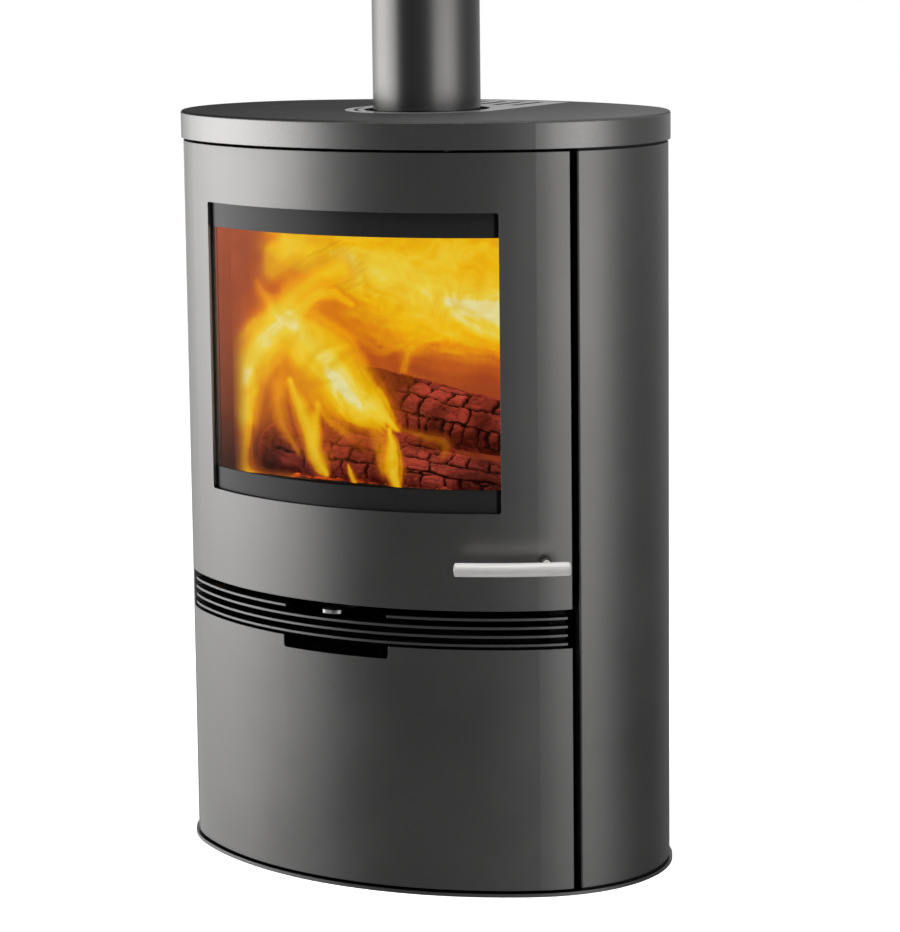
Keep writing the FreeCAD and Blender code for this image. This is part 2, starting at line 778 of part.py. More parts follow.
def firebox():
    """Welded box: front frame with the fire and ash openings, side walls, back, floor and roof."""
    depth_cut = ("front_set - overrun", "front_rear + overrun")
    depth = ("front_set", "front_rear")
    front = window_band("front_blank", "front_half_width", *depth, "deck_top", "door_top")
    fire_span = ("floor_top + fire_sill", "roof_base - fire_head")
    ash_span = ("deck_top + ash_opening_margin", "floor_base - ash_opening_margin")
    fire = window_band("fire_opening", "fire_opening_half", *depth_cut, *fire_span)
    ash = window_band("ash_opening", "ash_opening_half", *depth_cut, *ash_span)
    keep("firebox_front", cut("front_cut", front, fire, ash))

    inside = oval("firebox_plan", "front_rear", "deck_top", "roof_top")
    lengthwise = ("-half_depth", "firebox_rear")
    wall_z = ("deck_top", "roof_base")
    side_block = box("firebox_side_block", ("firebox_half", "firebox_side"), lengthwise, wall_z)
    side = common("firebox_right_wall", side_block, inside)
    keep("firebox_right", side)
    keep("firebox_left", mirrored("firebox_left_wall", side))
    back_span = ("firebox_rear", "firebox_back")
    keep("firebox_back", box("firebox_back_wall", across("firebox_side"), back_span, wall_z))

    floor_block = box("floor_block", across("firebox_half"), lengthwise, ("floor_base", "floor_top"))
    opening = box("grate_opening", across("grate_half - grate_rest"), across("grate_half - grate_rest"),
                  ("floor_base - overrun", "floor_top + overrun"))
    keep("firebox_floor", cut("floor_cut", common("floor_trimmed", floor_block, inside), opening))

    roof_y, roof_z = ("-half_depth", "firebox_back"), ("roof_base", "roof_top")
    roof_block = box("roof_block", across("firebox_side"), roof_y, roof_z)
    roof_cut = ("roof_base - overrun", "roof_top + overrun")
    flue_hole = cylinder("roof_flue_hole", "collar_bore", "0", "flue_y", roof_cut)
    roof = common("roof_trimmed", roof_block, inside)
    keep("firebox_roof", cut("roof_cut", roof, flue_hole, *collar_bolt_holes("roof")))


def linings():
    """Firebricks, baffle, log guard, grate and ash pan."""
    tall = ("floor_top", "brick_top")
    keep("firebrick_back", box("back_brick", across("firebox_half"), ("brick_rear", "firebox_rear"), tall))
    side_y = ("-brick_front", "brick_rear - brick_gap")
    side = box("right_brick", ("brick_inner", "firebox_half"), side_y, tall)
    keep("firebrick_right", side)
    keep("firebrick_left", mirrored("left_brick", side))

    floor_z = ("floor_top", "floor_top + brick_thick")
    floor_y = ("-floor_brick_front", "brick_rear - brick_gap")
    slab = box("floor_brick_slab", across("brick_inner - brick_gap"), floor_y, floor_z)
    recess = box("grate_recess", across("grate_half + brick_gap"), across("grate_half + brick_gap"),
                 ("floor_top - overrun", "floor_top + brick_thick + overrun"))
    keep("firebrick_floor", cut("floor_brick_cut", slab, recess))

    baffle_y = ("-baffle_front", "firebox_rear - baffle_side_gap")
    baffle_z = ("brick_top", "brick_top + baffle_thick")
    keep("baffle", box("baffle_slab", across("firebox_half - baffle_side_gap"), baffle_y, baffle_z))

    guard_front = "floor_brick_front - guard_inset"
    guard_y = (f"-({guard_front})", f"-({guard_front} - guard_thick)")
    guard_z = ("floor_top + brick_thick", "floor_top + brick_thick + guard_height")
    keep("log_guard", box("log_guard_plate", across("guard_half"), guard_y, guard_z))

    grate_z = ("floor_top", "floor_top + grate_thick")
    plate = box("grate_plate", across("grate_half"), across("grate_half"), grate_z)
    slots = []
    for number, x in enumerate(spread("grate_slot_count", "grate_slot_pitch")):
        x_span = (f"{x} - grate_slot_width/2", f"{x} + grate_slot_width/2")
        z_span = ("floor_top - overrun", "floor_top + grate_thick + overrun")
        slots.append(box(f"grate_slot_{number}", x_span, across("grate_half - grate_rest"), z_span))
    keep("grate", cut("grate_cut", plate, *slots))

    pan_span = ("deck_top", "deck_top + pan_height")
    pan = box("pan_block", across("pan_half"), ("-pan_front", "pan_rear"), pan_span)
    pan_y = ("-(pan_front - pan_wall)", "pan_rear - pan_wall")
    pan_z = ("deck_top + pan_wall", "deck_top + pan_height + overrun")
    hollow = box("pan_hollow", across("pan_half - pan_wall"), pan_y, pan_z)
    keep("ash_pan", cut("pan_cut", pan, hollow))


def door():
    """Fire door: outer panel, inner frame, gasket, curved glass, its retainers and the rope seal."""
    depth_cut = ("-overrun", "door_thick + overrun")
    panel = band("door_blank", -SEAM_TURN, SEAM_TURN, "0", "door_thick", "door_base", "door_top")
    window = window_band("door_window", "window_half", *depth_cut, "window_base", "window_top")
    rounded(window, "window_corner", is_level_line)
    hole = spindle("boss_hole", "boss_radius", HANDLE_TURN, depth_cut, "handle_z")
    keep("door_panel", cut("door_cut", panel, window, hole))

    frame_cut = ("door_thick - overrun", "frame_rear + overrun")
    frame = window_band("frame_blank", "frame_half", "door_thick", "frame_rear", "frame_base", "frame_top")
    sight = window_band("frame_sight", "glass_half + frame_clear", *frame_cut,
                        "glass_base - frame_clear", "glass_top + frame_clear")
    screws, holes = retainer_screws()
    keep("door_frame", cut("frame_cut", frame, sight, *holes))

    # The glass sits in the frame between a front gasket on the panel and a rear gasket under the retainers.
    gaskets = []
    for name, front, rear in (("front", "door_thick", "gasket_rear"), ("rear", "glass_rear", "frame_rear")):
        ring = window_band(f"{name}_gasket_blank", "glass_half", front, rear, "glass_base", "glass_top")
        bare = window_band(f"{name}_gasket_sight", "window_half + gasket_clear", f"{front} - overrun",
                           f"{rear} + overrun", "window_base - gasket_clear", "window_top + gasket_clear")
        gaskets.append(cut(f"{name}_gasket", ring, bare))
    keep("glass_gasket", group("gasket_pair", gaskets))
    pane = window_band("glass_pane", "glass_half", "gasket_rear", "glass_rear", "glass_base", "glass_top")
    keep("door_glass", pane)

    span = ("glass_base + retainer_inset", "glass_top - retainer_inset")
    inner, outer = turn_at("glass_half - retainer_grip"), turn_at("retainer_outer")
    blank = band("retainer_blank", inner, outer, "frame_rear", "retainer_rear", *span)
    strip = cut("retainer_right", blank, *holes)
    keep("glass_retainers", group("retainer_pair", (strip, mirrored("retainer_left", strip))))
    keep("retainer_screws", group("retainer_screw_group", screws))

    rope = window_band("seal_blank", "frame_half", "frame_rear", "seal_rear", "frame_base", "frame_top")
    bare = window_band("seal_sight", "frame_half - seal_width", "frame_rear - overrun", "seal_rear + overrun",
                       "frame_base + seal_width", "frame_top - seal_width")
    keep("door_seal", cut("seal_cut", rope, bare))


def retainer_screws():
    """Screws through both retainers into the door frame, and the holes they need."""
    reach = turn_at("retainer_screw_x")
    screws, holes = [], []
    middle, length = "(window_base + window_top)/2", "window_height/retainer_screw_count"
    for side in (-1, 1):
        for number, rise in enumerate(spread("retainer_screw_count", length)):
            name, turn, height = f"{number}_{side + 1}", side*reach, f"{middle} + {rise}"
            seat = "retainer_rear + pin_gap"
            head_depth = (seat, f"{seat} + retainer_screw_head_height")
            shank_depth = ("frame_rear - retainer_screw_bite", seat)
            hole_depth = ("frame_rear - retainer_screw_bite", "retainer_rear + overrun")
            head = spindle(f"retainer_head_{name}", "retainer_screw_head_radius", turn, head_depth, height)
            shank = spindle(f"retainer_shank_{name}", "retainer_screw_radius", turn, shank_depth, height)
            screws.append(fuse(f"retainer_screw_{name}", head, shank))
            hole_radius = "retainer_screw_radius + hole_gap"
            holes.append(spindle(f"retainer_hole_{name}", hole_radius, turn, hole_depth, height))
    return screws, holes


def hinges():
    """Two knuckles on the door, and the brackets and pins on the firebox that they turn on."""
    knuckles, brackets, pins = [], [], []
    leaf_start = HINGE_TURN
    leaf_stop = -turn_at("frame_half + hinge_leaf_gap")
    leaf_depth = ("door_thick", "door_thick + hinge_leaf_thick")
    for name in ("lower", "upper"):
        low, high = f"{name}_knuckle_base", f"{name}_knuckle_base + knuckle_height"
        tube = upright_at(f"{name}_tube", "knuckle_radius", HINGE_TURN, "hinge_depth", (low, high))
        leaf = band(f"{name}_leaf", leaf_start, leaf_stop, *leaf_depth, low, high)
        through = (f"{low} - overrun", f"{high} + overrun")
        bore = upright_at(f"{name}_bore", "hinge_pin_radius + pin_gap", HINGE_TURN, "hinge_depth", through)
        knuckles.append(cut(f"{name}_knuckle", fuse(f"{name}_knuckle_blank", tube, leaf), bore))

        seat_span = (f"{low} - run_gap - bracket_thick", f"{low} - run_gap")
        pin = upright_at(f"{name}_pin", "hinge_pin_radius", HINGE_TURN, "hinge_depth", (seat_span[0], high))
        eye = upright_at(f"{name}_eye", "knuckle_radius", HINGE_TURN, "hinge_depth", seat_span)
        arm_depth = ("hinge_depth", "front_set")
        arm = turned_box(f"{name}_arm", HINGE_TURN, across("bracket_half"), arm_depth, seat_span)
        brackets.append(cut(f"{name}_bracket", fuse(f"{name}_bracket_blank", eye, arm), pin))
        pins.append(pin)
    keep("hinge_knuckles", group("hinge_knuckle_pair", knuckles))
    keep("hinge_brackets", group("hinge_bracket_pair", brackets))
    keep("hinge_pins", group("hinge_pin_pair", pins))


def handle():
    """Curved bar on a shaft through the door, its boss, the latch cam and the keeper it turns behind."""
    bore_depth = ("-(boss_reach + overrun)", "boss_inner + overrun")
    bore = spindle("boss_bore", "shaft_radius + pin_gap", HANDLE_TURN, bore_depth, "handle_z")
    sleeve = spindle("boss_sleeve", "boss_radius", HANDLE_TURN, ("-boss_reach", "boss_inner"), "handle_z")
    keep("handle_boss", cut("boss_cut", sleeve, bore))
    shaft = spindle("shaft_rod", "shaft_radius", HANDLE_TURN, ("-handle_standoff", "cam_rear"), "handle_z")
    keep("handle_shaft", shaft)

    pivot = oval_point(HANDLE_TURN, -value("handle_standoff"))
    bar_circle = math.hypot(pivot.x, FRONT_Y - pivot.y)
    pivot_turn = math.degrees(math.atan2(pivot.x, FRONT_Y - pivot.y))
    first = pivot_turn - math.degrees(value("bar_left")/bar_circle)
    rod = doc.addObject("Part::Torus", "bar_rod")
    rod.Radius1 = bar_circle
    rod.setExpression("Radius2", ex("bar_radius"))
    rod.Angle3 = math.degrees(value("bar_left + bar_right")/bar_circle)
    rod.Placement.Rotation = FreeCAD.Rotation(UP, first - QUARTER_TURN)
    rod.setExpression("Placement.Base.y", ex("front_centre"))
    rod.setExpression("Placement.Base.z", ex("handle_z"))
    doc.recompute()
    limit = value("bar_radius") + STRAIGHT_LIMIT
    ends = [n for n, edge in enumerate(rod.Shape.Edges, 1) if edge.Curve.Radius < limit]
    soft = doc.addObject("Part::Fillet", "bar_rounded")
    soft.Base = rod
    soft.Edges = [(n, value("bar_end_round"), value("bar_end_round")) for n in ends]
    keep("handle_bar", cut("bar_cut", soft, shaft))

    arm_z = ("handle_z - cam_length", "handle_z + cam_half_width")
    arm = turned_box("cam_arm", HANDLE_TURN, across("cam_half_width"), ("cam_depth", "cam_rear"), arm_z)
    keep("latch_cam", cut("cam_cut", arm, shaft))
    keeper_z = ("keeper_base", "keeper_top")
    seat_radius = "side_radius - front_set"
    lip_start = HANDLE_TURN + math.degrees(value(f"keeper_lip_start/({seat_radius})"))
    leg_start = HANDLE_TURN + math.degrees(value(f"keeper_leg_start/({seat_radius})"))
    leg_stop = leg_start + math.degrees(value(f"keeper_leg_thick/({seat_radius})"))
    lip = band("keeper_lip", lip_start, leg_stop, "keeper_lip_front", "keeper_lip_rear", *keeper_z)
    leg = band("keeper_leg", leg_start, leg_stop, "keeper_lip_front", "front_set", *keeper_z)
    keep("latch_keeper", fuse("keeper_whole", lip, leg))


def drawer():
    """Storage drawer: curved front with a finger cut-out, tray, and rails on the tray and the supports."""
    front = band("drawer_blank", -SEAM_TURN, SEAM_TURN, "0", "door_thick", "panel_base", "drawer_top")
    finger = window_band("finger_cut", "finger_half", "-overrun", "door_thick + overrun",
                         "drawer_top - finger_depth", "drawer_top + overrun")
    rounded(finger, "finger_corner", is_bottom_line)
    keep("drawer_front", cut("drawer_cut", front, finger))

    outside = oval("tray_plan", "door_thick", "tray_base", "tray_top")
    inside = oval("tray_inner_plan", "door_thick + tray_wall", "tray_base + tray_wall", "tray_top + overrun")
    block = box("tray_block", across("tray_half"), ("-half_depth", "tray_rear"), ("tray_base", "tray_top"))
    hollow_y = ("-half_depth", "tray_rear - tray_wall")
    hollow_z = ("tray_base + tray_wall", "tray_top + overrun")
    hollow = box("tray_hollow_block", across("tray_half - tray_wall"), hollow_y, hollow_z)
    body = common("tray_outer", block, outside)
    keep("drawer_tray", cut("tray_cut", body, common("tray_hollow", hollow, inside)))

    rail_z = ("rail_base", "rail_base + rail_height")
    moving = box("drawer_rail", ("tray_half", "rail_outer"), ("-rail_front", "tray_rear"), rail_z)
    keep("drawer_rails", group("drawer_rail_pair", (moving, mirrored("drawer_rail_left", moving))))
    fixed = box("runner_rail", ("rail_outer + run_gap", "support_x"), ("-rail_front", "support_rear"), rail_z)
    keep("runner_rails", group("runner_rail_pair", (fixed, mirrored("runner_rail_left", fixed))))


def keyhole(name, half, rear, low, high):
    """A block with the top insert's outline: round in front of the flue, with a rear edge along the casing."""
    reach, y = value(half), value("flue_y")
    rear_turn = math.degrees(math.asin(reach/(FRONT_R - value(rear))))
    left = oval_point(HALF_TURN + rear_turn, value(rear))
    right = oval_point(HALF_TURN - rear_turn, value(rear))
    edges = [arc(0, y, half, -QUARTER_TURN, QUARTER_TURN)]
    edges.append(line(FreeCAD.Vector(reach, y, 0), right))
    edges += oval_arcs(HALF_TURN - rear_turn, HALF_TURN + rear_turn, rear)
    edges.append(line(left, FreeCAD.Vector(-reach, y, 0)))
    return padded(name, edges, low, high)


def top():
    """Cast top plate with a turned-down rim, and the grille insert around the flue."""
    plate = oval("top_blank", "-top_overhang", "top_base", "top_face")
    height = value("top_height")

    def is_top_edge(edge):
        return all(abs(v.Z - height) < STRAIGHT_LIMIT for v in edge.Vertexes)

    rounded(plate, "top_edge", is_top_edge)
    hollow = oval("top_hollow", "top_rim - top_overhang", "top_base - overrun", "top_face - top_skin")
    seat = keyhole("insert_seat", "insert_half", "insert_rear", "insert_base", "top_face + overrun")
    through = keyhole("insert_through", "insert_half - insert_ledge", "insert_rear + insert_ledge",
                      "top_base - overrun", "insert_base + overrun")
    keep("top_plate", cut("top_cut", plate, hollow, seat, through))

    half, rear = "insert_half - insert_gap", "insert_rear + insert_gap"
    blank = keyhole("insert_blank", half, rear, "insert_base", "top_face")
    span = ("insert_base - overrun", "top_face + overrun")
    tools = [cylinder("insert_flue_hole", "flue_hole_radius", "0", "flue_y", span)]
    inner, outer = "ring_slot_inner", "ring_slot_inner + ring_slot_width"
    count = int(value("ring_slot_count"))
    web = math.degrees(value("ring_slot_web/ring_slot_inner"))
    step = HALF_TURN/count
    y = value("flue_y")
    for number in range(count):
        start, stop = -QUARTER_TURN + number*step + web/2, -QUARTER_TURN + (number + 1)*step - web/2
        forward, back = arc(0, y, outer, start, stop), arc(0, y, inner, stop, start)
        far_end = line(forward.curve.EndPoint, back.curve.EndPoint)
        near_end = line(back.curve.StartPoint, forward.curve.StartPoint)
        tools.append(padded(f"ring_slot_{number}", [forward, far_end, back, near_end], *span))
    rear = "half_depth - insert_rear - grille_slot_margin - insert_half^2/(2*front_radius)"
    for number, x in enumerate(spread("grille_slot_count", "grille_slot_pitch")):
        x_span = (f"{x} - grille_slot_width/2", f"{x} + grille_slot_width/2")
        tools.append(box(f"grille_slot_{number}", x_span, ("flue_y + grille_slot_start", rear), span))
    keep("top_grille", cut("insert_cut", blank, *tools))


def collar_bolt_holes(name):
    """Holes for the bolts that hold the flue collar on the firebox roof."""
    radius, span = "collar_bolt_radius + hole_gap", ("roof_base - overrun", "collar_seat + overrun")
    count = int(value("collar_bolt_count"))
    return [collar_bolt_post(f"{name}_hole_{number}", radius, number, span) for number in range(count)]


def collar_bolt_post(name, radius, number, z):
    angle = f"({FULL_TURN}/collar_bolt_count)*({number} + 1/2)"
    x, y = f"collar_bolt_circle*cos({angle})", f"flue_y + collar_bolt_circle*sin({angle})"
    return cylinder(name, radius, x, y, z)


def flue():
    """Flue collar bolted to the firebox roof, and the first length of flue pipe standing in it."""
    flange = cylinder("collar_flange", "collar_flange_radius", "0", "flue_y", ("roof_top", "collar_seat"))
    tube = cylinder("collar_tube", "collar_radius", "0", "flue_y", ("roof_top", "collar_top"))
    bore_z = ("roof_top - overrun", "collar_top + overrun")
    bore = cylinder("collar_bore_tool", "collar_bore", "0", "flue_y", bore_z)
    socket_z = ("collar_seat", "collar_top + overrun")
    socket = cylinder("collar_socket_tool", "collar_socket", "0", "flue_y", socket_z)
    solid = fuse("collar_solid", flange, tube)
    keep("flue_collar", cut("collar_cut", solid, bore, socket, *collar_bolt_holes("collar")))

    bolts = []
    for number in range(int(value("collar_bolt_count"))):
        shank_span = ("roof_base", "collar_seat")
        head_span = ("collar_seat", "collar_seat + collar_bolt_head_height")
        shank = collar_bolt_post(f"collar_shank_{number}", "collar_bolt_radius", number, shank_span)
        head = collar_bolt_post(f"collar_head_{number}", "collar_bolt_head_radius", number, head_span)
        bolts.append(fuse(f"collar_bolt_{number}", shank, head))
    keep("flue_collar_bolts", group("collar_bolt_group", bolts))

    pipe_z = ("collar_seat", "collar_seat + flue_length")
    bore_z = ("collar_seat - overrun", "collar_seat + flue_length + overrun")
    pipe = cylinder("pipe_outside", "flue_radius", "0", "flue_y", pipe_z)
    inside = cylinder("pipe_inside", "flue_bore", "0", "flue_y", bore_z)
    keep("flue_pipe", cut("pipe_cut", pipe, inside))


def write():
    """Checks every object, then writes each sub-part to its own file."""
    doc.recompute()
    for obj in doc.Objects:
        if "Invalid" in obj.State or "Error" in obj.State:
            raise RuntimeError(f"{obj.Label} failed: {obj.State}")
    os.makedirs("parts", exist_ok=True)
    for obj in nodes:
        shape = obj.Shape
        if shape.isNull() or not shape.isValid() or not shape.Solids:
            raise RuntimeError(f"{obj.Label} has no valid solid")
        shape.exportStep(os.path.join("parts", f"{obj.Label}.step"))
    hinge, pivot = oval_point(HINGE_TURN, value("hinge_depth")), oval_point(HANDLE_TURN, 0)
    print(len(nodes), "sub-parts")
    print("door hinge at", hinge.x, hinge.y)
    print("handle pivot at", pivot.x, pivot.y, value("handle_z"), "turn", HANDLE_TURN)


SECTIONS = (base, casing, stand, air_control, louvre, firebox, linings, door, hinges, handle, drawer, top, flue)
for section in SECTIONS:
    section()
write()
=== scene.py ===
import math

import bmesh
import bpy
import numpy
from mathutils import Matrix, Vector, noise


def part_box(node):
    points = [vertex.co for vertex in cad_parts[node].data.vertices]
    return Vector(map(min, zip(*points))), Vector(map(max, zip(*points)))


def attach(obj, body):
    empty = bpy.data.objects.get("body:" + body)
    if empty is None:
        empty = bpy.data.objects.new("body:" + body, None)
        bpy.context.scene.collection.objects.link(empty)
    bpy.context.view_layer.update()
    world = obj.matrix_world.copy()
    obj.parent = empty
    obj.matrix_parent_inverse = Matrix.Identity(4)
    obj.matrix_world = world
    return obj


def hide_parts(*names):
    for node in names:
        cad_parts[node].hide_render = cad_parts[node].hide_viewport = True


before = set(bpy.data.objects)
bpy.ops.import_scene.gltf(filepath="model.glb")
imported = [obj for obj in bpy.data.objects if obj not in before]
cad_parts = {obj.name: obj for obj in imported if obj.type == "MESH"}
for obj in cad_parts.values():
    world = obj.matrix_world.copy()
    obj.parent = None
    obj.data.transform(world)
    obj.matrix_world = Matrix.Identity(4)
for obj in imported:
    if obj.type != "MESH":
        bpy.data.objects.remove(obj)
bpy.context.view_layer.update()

# The casing's plan is an oval of four arcs, in metres. A place on it is given by its turn from the front, in
# radians towards +X, and its depth behind the casing's face.
SIDE_X = 0.160
FRONT_Y = 0.231
FRONT_R = 0.481
SIDE_R = 0.200
JOIN = math.atan2(SIDE_X, FRONT_Y)

# Heights of the hearth and the baffle, from the frame.
FLOOR_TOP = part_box("firebrick_floor")[1][2]
BAFFLE_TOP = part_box("baffle")[1][2]

# The main view's turn from the front towards +X.
VIEW_TURN = math.radians(31.9)


def oval(turn, depth):
    """The plan point at a turn and a depth."""
    if abs(turn) <= JOIN:
        reach = FRONT_R - depth
        return reach*math.sin(turn), FRONT_Y - reach*math.cos(turn)
    reach = SIDE_R - depth
    return math.copysign(SIDE_X, turn) + reach*math.sin(turn), -reach*math.cos(turn)


def oval_turn(x):
    """The turn of the casing's front half at a given X."""
    if abs(x) <= FRONT_R*math.sin(JOIN):
        return math.asin(x/FRONT_R)
    return math.copysign(math.asin((abs(x) - SIDE_X)/SIDE_R), x)


# The range that holds most of a noise texture's values.
NOISE_LOW = 0.3
NOISE_HIGH = 0.7
# Places of the share and the two colours among a Mix node's inputs, and of the colour among its outputs.
MIX_INPUTS = (0, 6, 7)
MIX_OUTPUT = 2


class NodeTree:
    """A node tree, with short calls for the nodes used here."""

    def __init__(self, tree):
        tree.nodes.clear()
        self.tree = tree

    def node(self, kind, **sockets):
        """A new node, with sockets given by name, an underscore for a space, or by i and their number."""
        made = self.tree.nodes.new(kind)
        for name, value in sockets.items():
            place = int(name[1:]) if name[1:].isdigit() else name.replace("_", " ")
            self.set(made.inputs[place], value)
        return made

    def set(self, socket, value):
        """Links a socket to another one, or gives it a value."""
        if isinstance(value, bpy.types.NodeSocket):
            self.tree.links.new(value, socket)
        else:
            socket.default_value = value

    def math(self, operation, first, second=0.0, clamp=False):
        made = self.node("ShaderNodeMath", i0=first, i1=second)
        made.operation = operation
        made.use_clamp = clamp
        return made.outputs[0]

    def span(self, value, low, high, to_low, to_high):
        """A value carried over from one range to another and held inside it."""
        made = self.node("ShaderNodeMapRange", Value=value, i1=low, i2=high, i3=to_low, i4=to_high)
        return made.outputs[0]

    def ramp(self, value, stops):
        """The colour for a value, from stops of a position and a colour."""
        made = self.node("ShaderNodeValToRGB", Fac=value)
        elements = made.color_ramp.elements
        while len(elements) < len(stops):
            elements.new(0.5)
        for element, (position, colour) in zip(elements, stops):
            element.position = position
            element.color = (*colour, 1.0)
        return made.outputs["Color"]

    def mix(self, share, first, second, blend="MIX"):
        """Two colours mixed by a share."""
        made = self.node("ShaderNodeMix")
        made.data_type = "RGBA"
        made.blend_type = blend
        for place, value in zip(MIX_INPUTS, (share, first, second)):
            self.set(made.inputs[place], (*value, 1.0) if isinstance(value, tuple) else value)
        return made.outputs[MIX_OUTPUT]

    def layered(self, share, under, over):
        """Two shaders mixed by the second one's share."""
        return self.node("ShaderNodeMixShader", i0=share, i1=under, i2=over).outputs[0]

    def looked_at(self):
        """1 for rays from the camera and for those that pass through glass, 0 for all others."""
        rays = self.node("ShaderNodeLightPath").outputs
        return self.math("ADD", rays["Is Camera Ray"], rays["Is Transmission Ray"], clamp=True)


class Finish(NodeTree):
    """A material, with short calls for the textures used here."""

    def __init__(self, name):
        self.material = bpy.data.materials.new(name)
        self.material.use_nodes = True
        super().__init__(self.material.node_tree)
        self.out = self.node("ShaderNodeOutputMaterial")
        self.place = self.node("ShaderNodeTexCoord").outputs["Object"]

    def noise(self, scale, detail=3.0, roughness=0.55, vector=None, distortion=0.0):
        made = self.node("ShaderNodeTexNoise", Vector=vector or self.place, Scale=scale, Detail=detail,
                         Roughness=roughness, Distortion=distortion)
        return made.outputs["Fac"]

    def vary(self, texture, low, high):
        """A noise texture carried over to a range."""
        return self.span(texture, NOISE_LOW, NOISE_HIGH, low, high)

    def stretched(self, x, y, z):
        return self.node("ShaderNodeMapping", Vector=self.place, Scale=(x, y, z)).outputs[0]

    def cells(self, scale, feature):
        made = self.node("ShaderNodeTexVoronoi", Vector=self.place, Scale=scale)
        made.feature = feature
        return made.outputs["Distance"]

    def along(self, axis, vector=None):
        """A place's part along an axis, or another vector's."""
        return self.node("ShaderNodeSeparateXYZ", Vector=vector or self.place).outputs[axis]

    def geometry(self, name):
        return self.node("ShaderNodeNewGeometry").outputs[name]

    def attribute(self, name):
        made = self.node("ShaderNodeAttribute")
        made.attribute_name = name
        return made.outputs["Fac"]

    def grey(self, level):
        return self.node("ShaderNodeCombineColor", Red=level, Green=level, Blue=level).outputs[0]

    def bump(self, height, strength, distance, normal=None):
        made = self.node("ShaderNodeBump", Height=height, Strength=strength, Distance=distance)
        if normal is not None:
            self.set(made.inputs["Normal"], normal)
        return made.outputs[0]

    def rounded(self, radius):
        """Normals with every edge softened to a small radius."""
        made = self.node("ShaderNodeBevel", Radius=radius)
        made.samples = 4
        return made.outputs[0]

    def edges(self, radius):
        """1 along the edges, 0 on the faces."""
        made = self.node("ShaderNodeVectorMath", i0=self.rounded(radius), i1=self.geometry("Normal"))
        made.operation = "DOT_PRODUCT"
        return self.span(made.outputs["Value"], 0.98, 0.8, 0.0, 1.0)

    def principled(self, **sockets):
        """A Principled shader, with colours of three parts."""
        colours = {name: (*value, 1.0) for name, value in sockets.items() if isinstance(value, tuple)}
        return self.node("ShaderNodeBsdfPrincipled", **{**sockets, **colours}).outputs[0]

    def surface(self, shader):
        self.tree.links.new(shader, self.out.inputs["Surface"])
        return self.material


# Textures of the stove paint, in repeats to the metre, and the radius of its edges in metres.
FINE_GRAIN = 1500.0
CLOUDING = 7.0
CAST_PITS = 420.0
EDGE_RADIUS = 0.0010
# Depth of the paint's texture in metres.
GRAIN_DEPTH = 0.0004


def paint(name, colour, metallic, roughness, grain=0.10, lump=0.0):
    """Satin stove paint: metallic grain, faint clouding, soft edges rubbed a little lighter."""
    g = Finish(name)
    fine = g.noise(FINE_GRAIN, detail=2.0, roughness=0.6)
    cloud = g.noise(CLOUDING, roughness=0.5)
    shade = g.math("ADD", g.vary(fine, -grain, grain), g.vary(cloud, -0.05, 0.05))
    base = g.mix(1.0, colour, g.grey(g.math("ADD", 1.0, shade)), "MULTIPLY")
    patches = g.span(g.noise(60.0), 0.4, 0.7, 0.0, 0.35)
    rubbed = g.math("MULTIPLY", g.edges(EDGE_RADIUS), patches, clamp=True)
    base = g.mix(rubbed, base, tuple(min(1.0, part*1.8) for part in colour))
    height = fine
    if lump:
        lumps = g.math("MULTIPLY", g.noise(CAST_PITS, roughness=0.6), lump)
        height = g.math("ADD", g.math("MULTIPLY", fine, 0.5), lumps)
    normal = g.bump(height, 0.10 + 0.25*lump, GRAIN_DEPTH, g.rounded(EDGE_RADIUS))
    rough = g.math("ADD", roughness, g.vary(cloud, -0.03, 0.03))
    return g.surface(g.principled(Base_Color=base, Metallic=metallic, Roughness=rough, Normal=normal))


def cast_top(name):
    """The cast top plate: metallic paint on the rim, and a matt, rough, dark upper face with a painted
    reflection, lighter towards +X.
    """
    half_length = 0.34
    rim_paint = (0.33, 0.326, 0.322)
    # The upper face's colour from -X to +X: a painted reflection, dark at -X and lighter at +X.
    painted_reflection_from_left = [(0.0, (0.009, 0.0088, 0.0086)), (0.5, (0.026, 0.0256, 0.0252)),
                      (1.0, (0.075, 0.074, 0.073))]
    g = Finish(name)
    grain = g.vary(g.noise(FINE_GRAIN, detail=2.0, roughness=0.6), -0.16, 0.16)
    cloud = g.vary(g.noise(CLOUDING, roughness=0.5), -0.08, 0.08)
    pits = g.noise(CAST_PITS, roughness=0.6)
    upper = g.span(g.along("Z", g.geometry("Normal")), 0.10, 0.40, 0.0, 1.0)
    # Painted reflection: the upper face's colour follows X.
    dull = g.ramp(g.span(g.along("X"), -half_length, half_length, 0.0, 1.0), painted_reflection_from_left)
    tone = g.math("ADD", 1.0, g.math("ADD", grain, cloud))
    base = g.mix(1.0, g.mix(upper, rim_paint, dull), g.grey(tone), "MULTIPLY")
    metallic = g.span(upper, 0.0, 1.0, 1.0, 0.0)
    rough = g.math("ADD", g.span(upper, 0.0, 1.0, 0.28, 0.55), g.math("MULTIPLY", cloud, 0.4))
    height = g.math("ADD", pits, g.math("MULTIPLY", grain, 0.5))
    normal = g.bump(height, 0.22, GRAIN_DEPTH, g.rounded(EDGE_RADIUS))
    return g.surface(g.principled(Base_Color=base, Metallic=metallic, Roughness=rough, Normal=normal,
                                  Specular_IOR_Level=0.12))


def bare_metal(name, colour, roughness, along=(1.0, 1.0, 1.0), depth=0.2, metallic=1.0):
    """Metal with fine lines drawn out along one direction."""
    g = Finish(name)
    lines = g.noise(300.0, detail=4.0, roughness=0.7, vector=g.stretched(*along))
    base = g.mix(g.vary(lines, 0.0, 1.0), tuple(part*0.82 for part in colour), colour)
    smudge = g.span(g.noise(25.0, detail=2.0), 0.4, 0.7, 0.0, 0.05)
    rough = g.math("ADD", g.vary(lines, roughness - 0.05, roughness + 0.07), smudge)
    normal = g.bump(lines, depth, 0.0003, g.rounded(0.0006))
    return g.surface(g.principled(Base_Color=base, Metallic=metallic, Roughness=rough, Normal=normal))


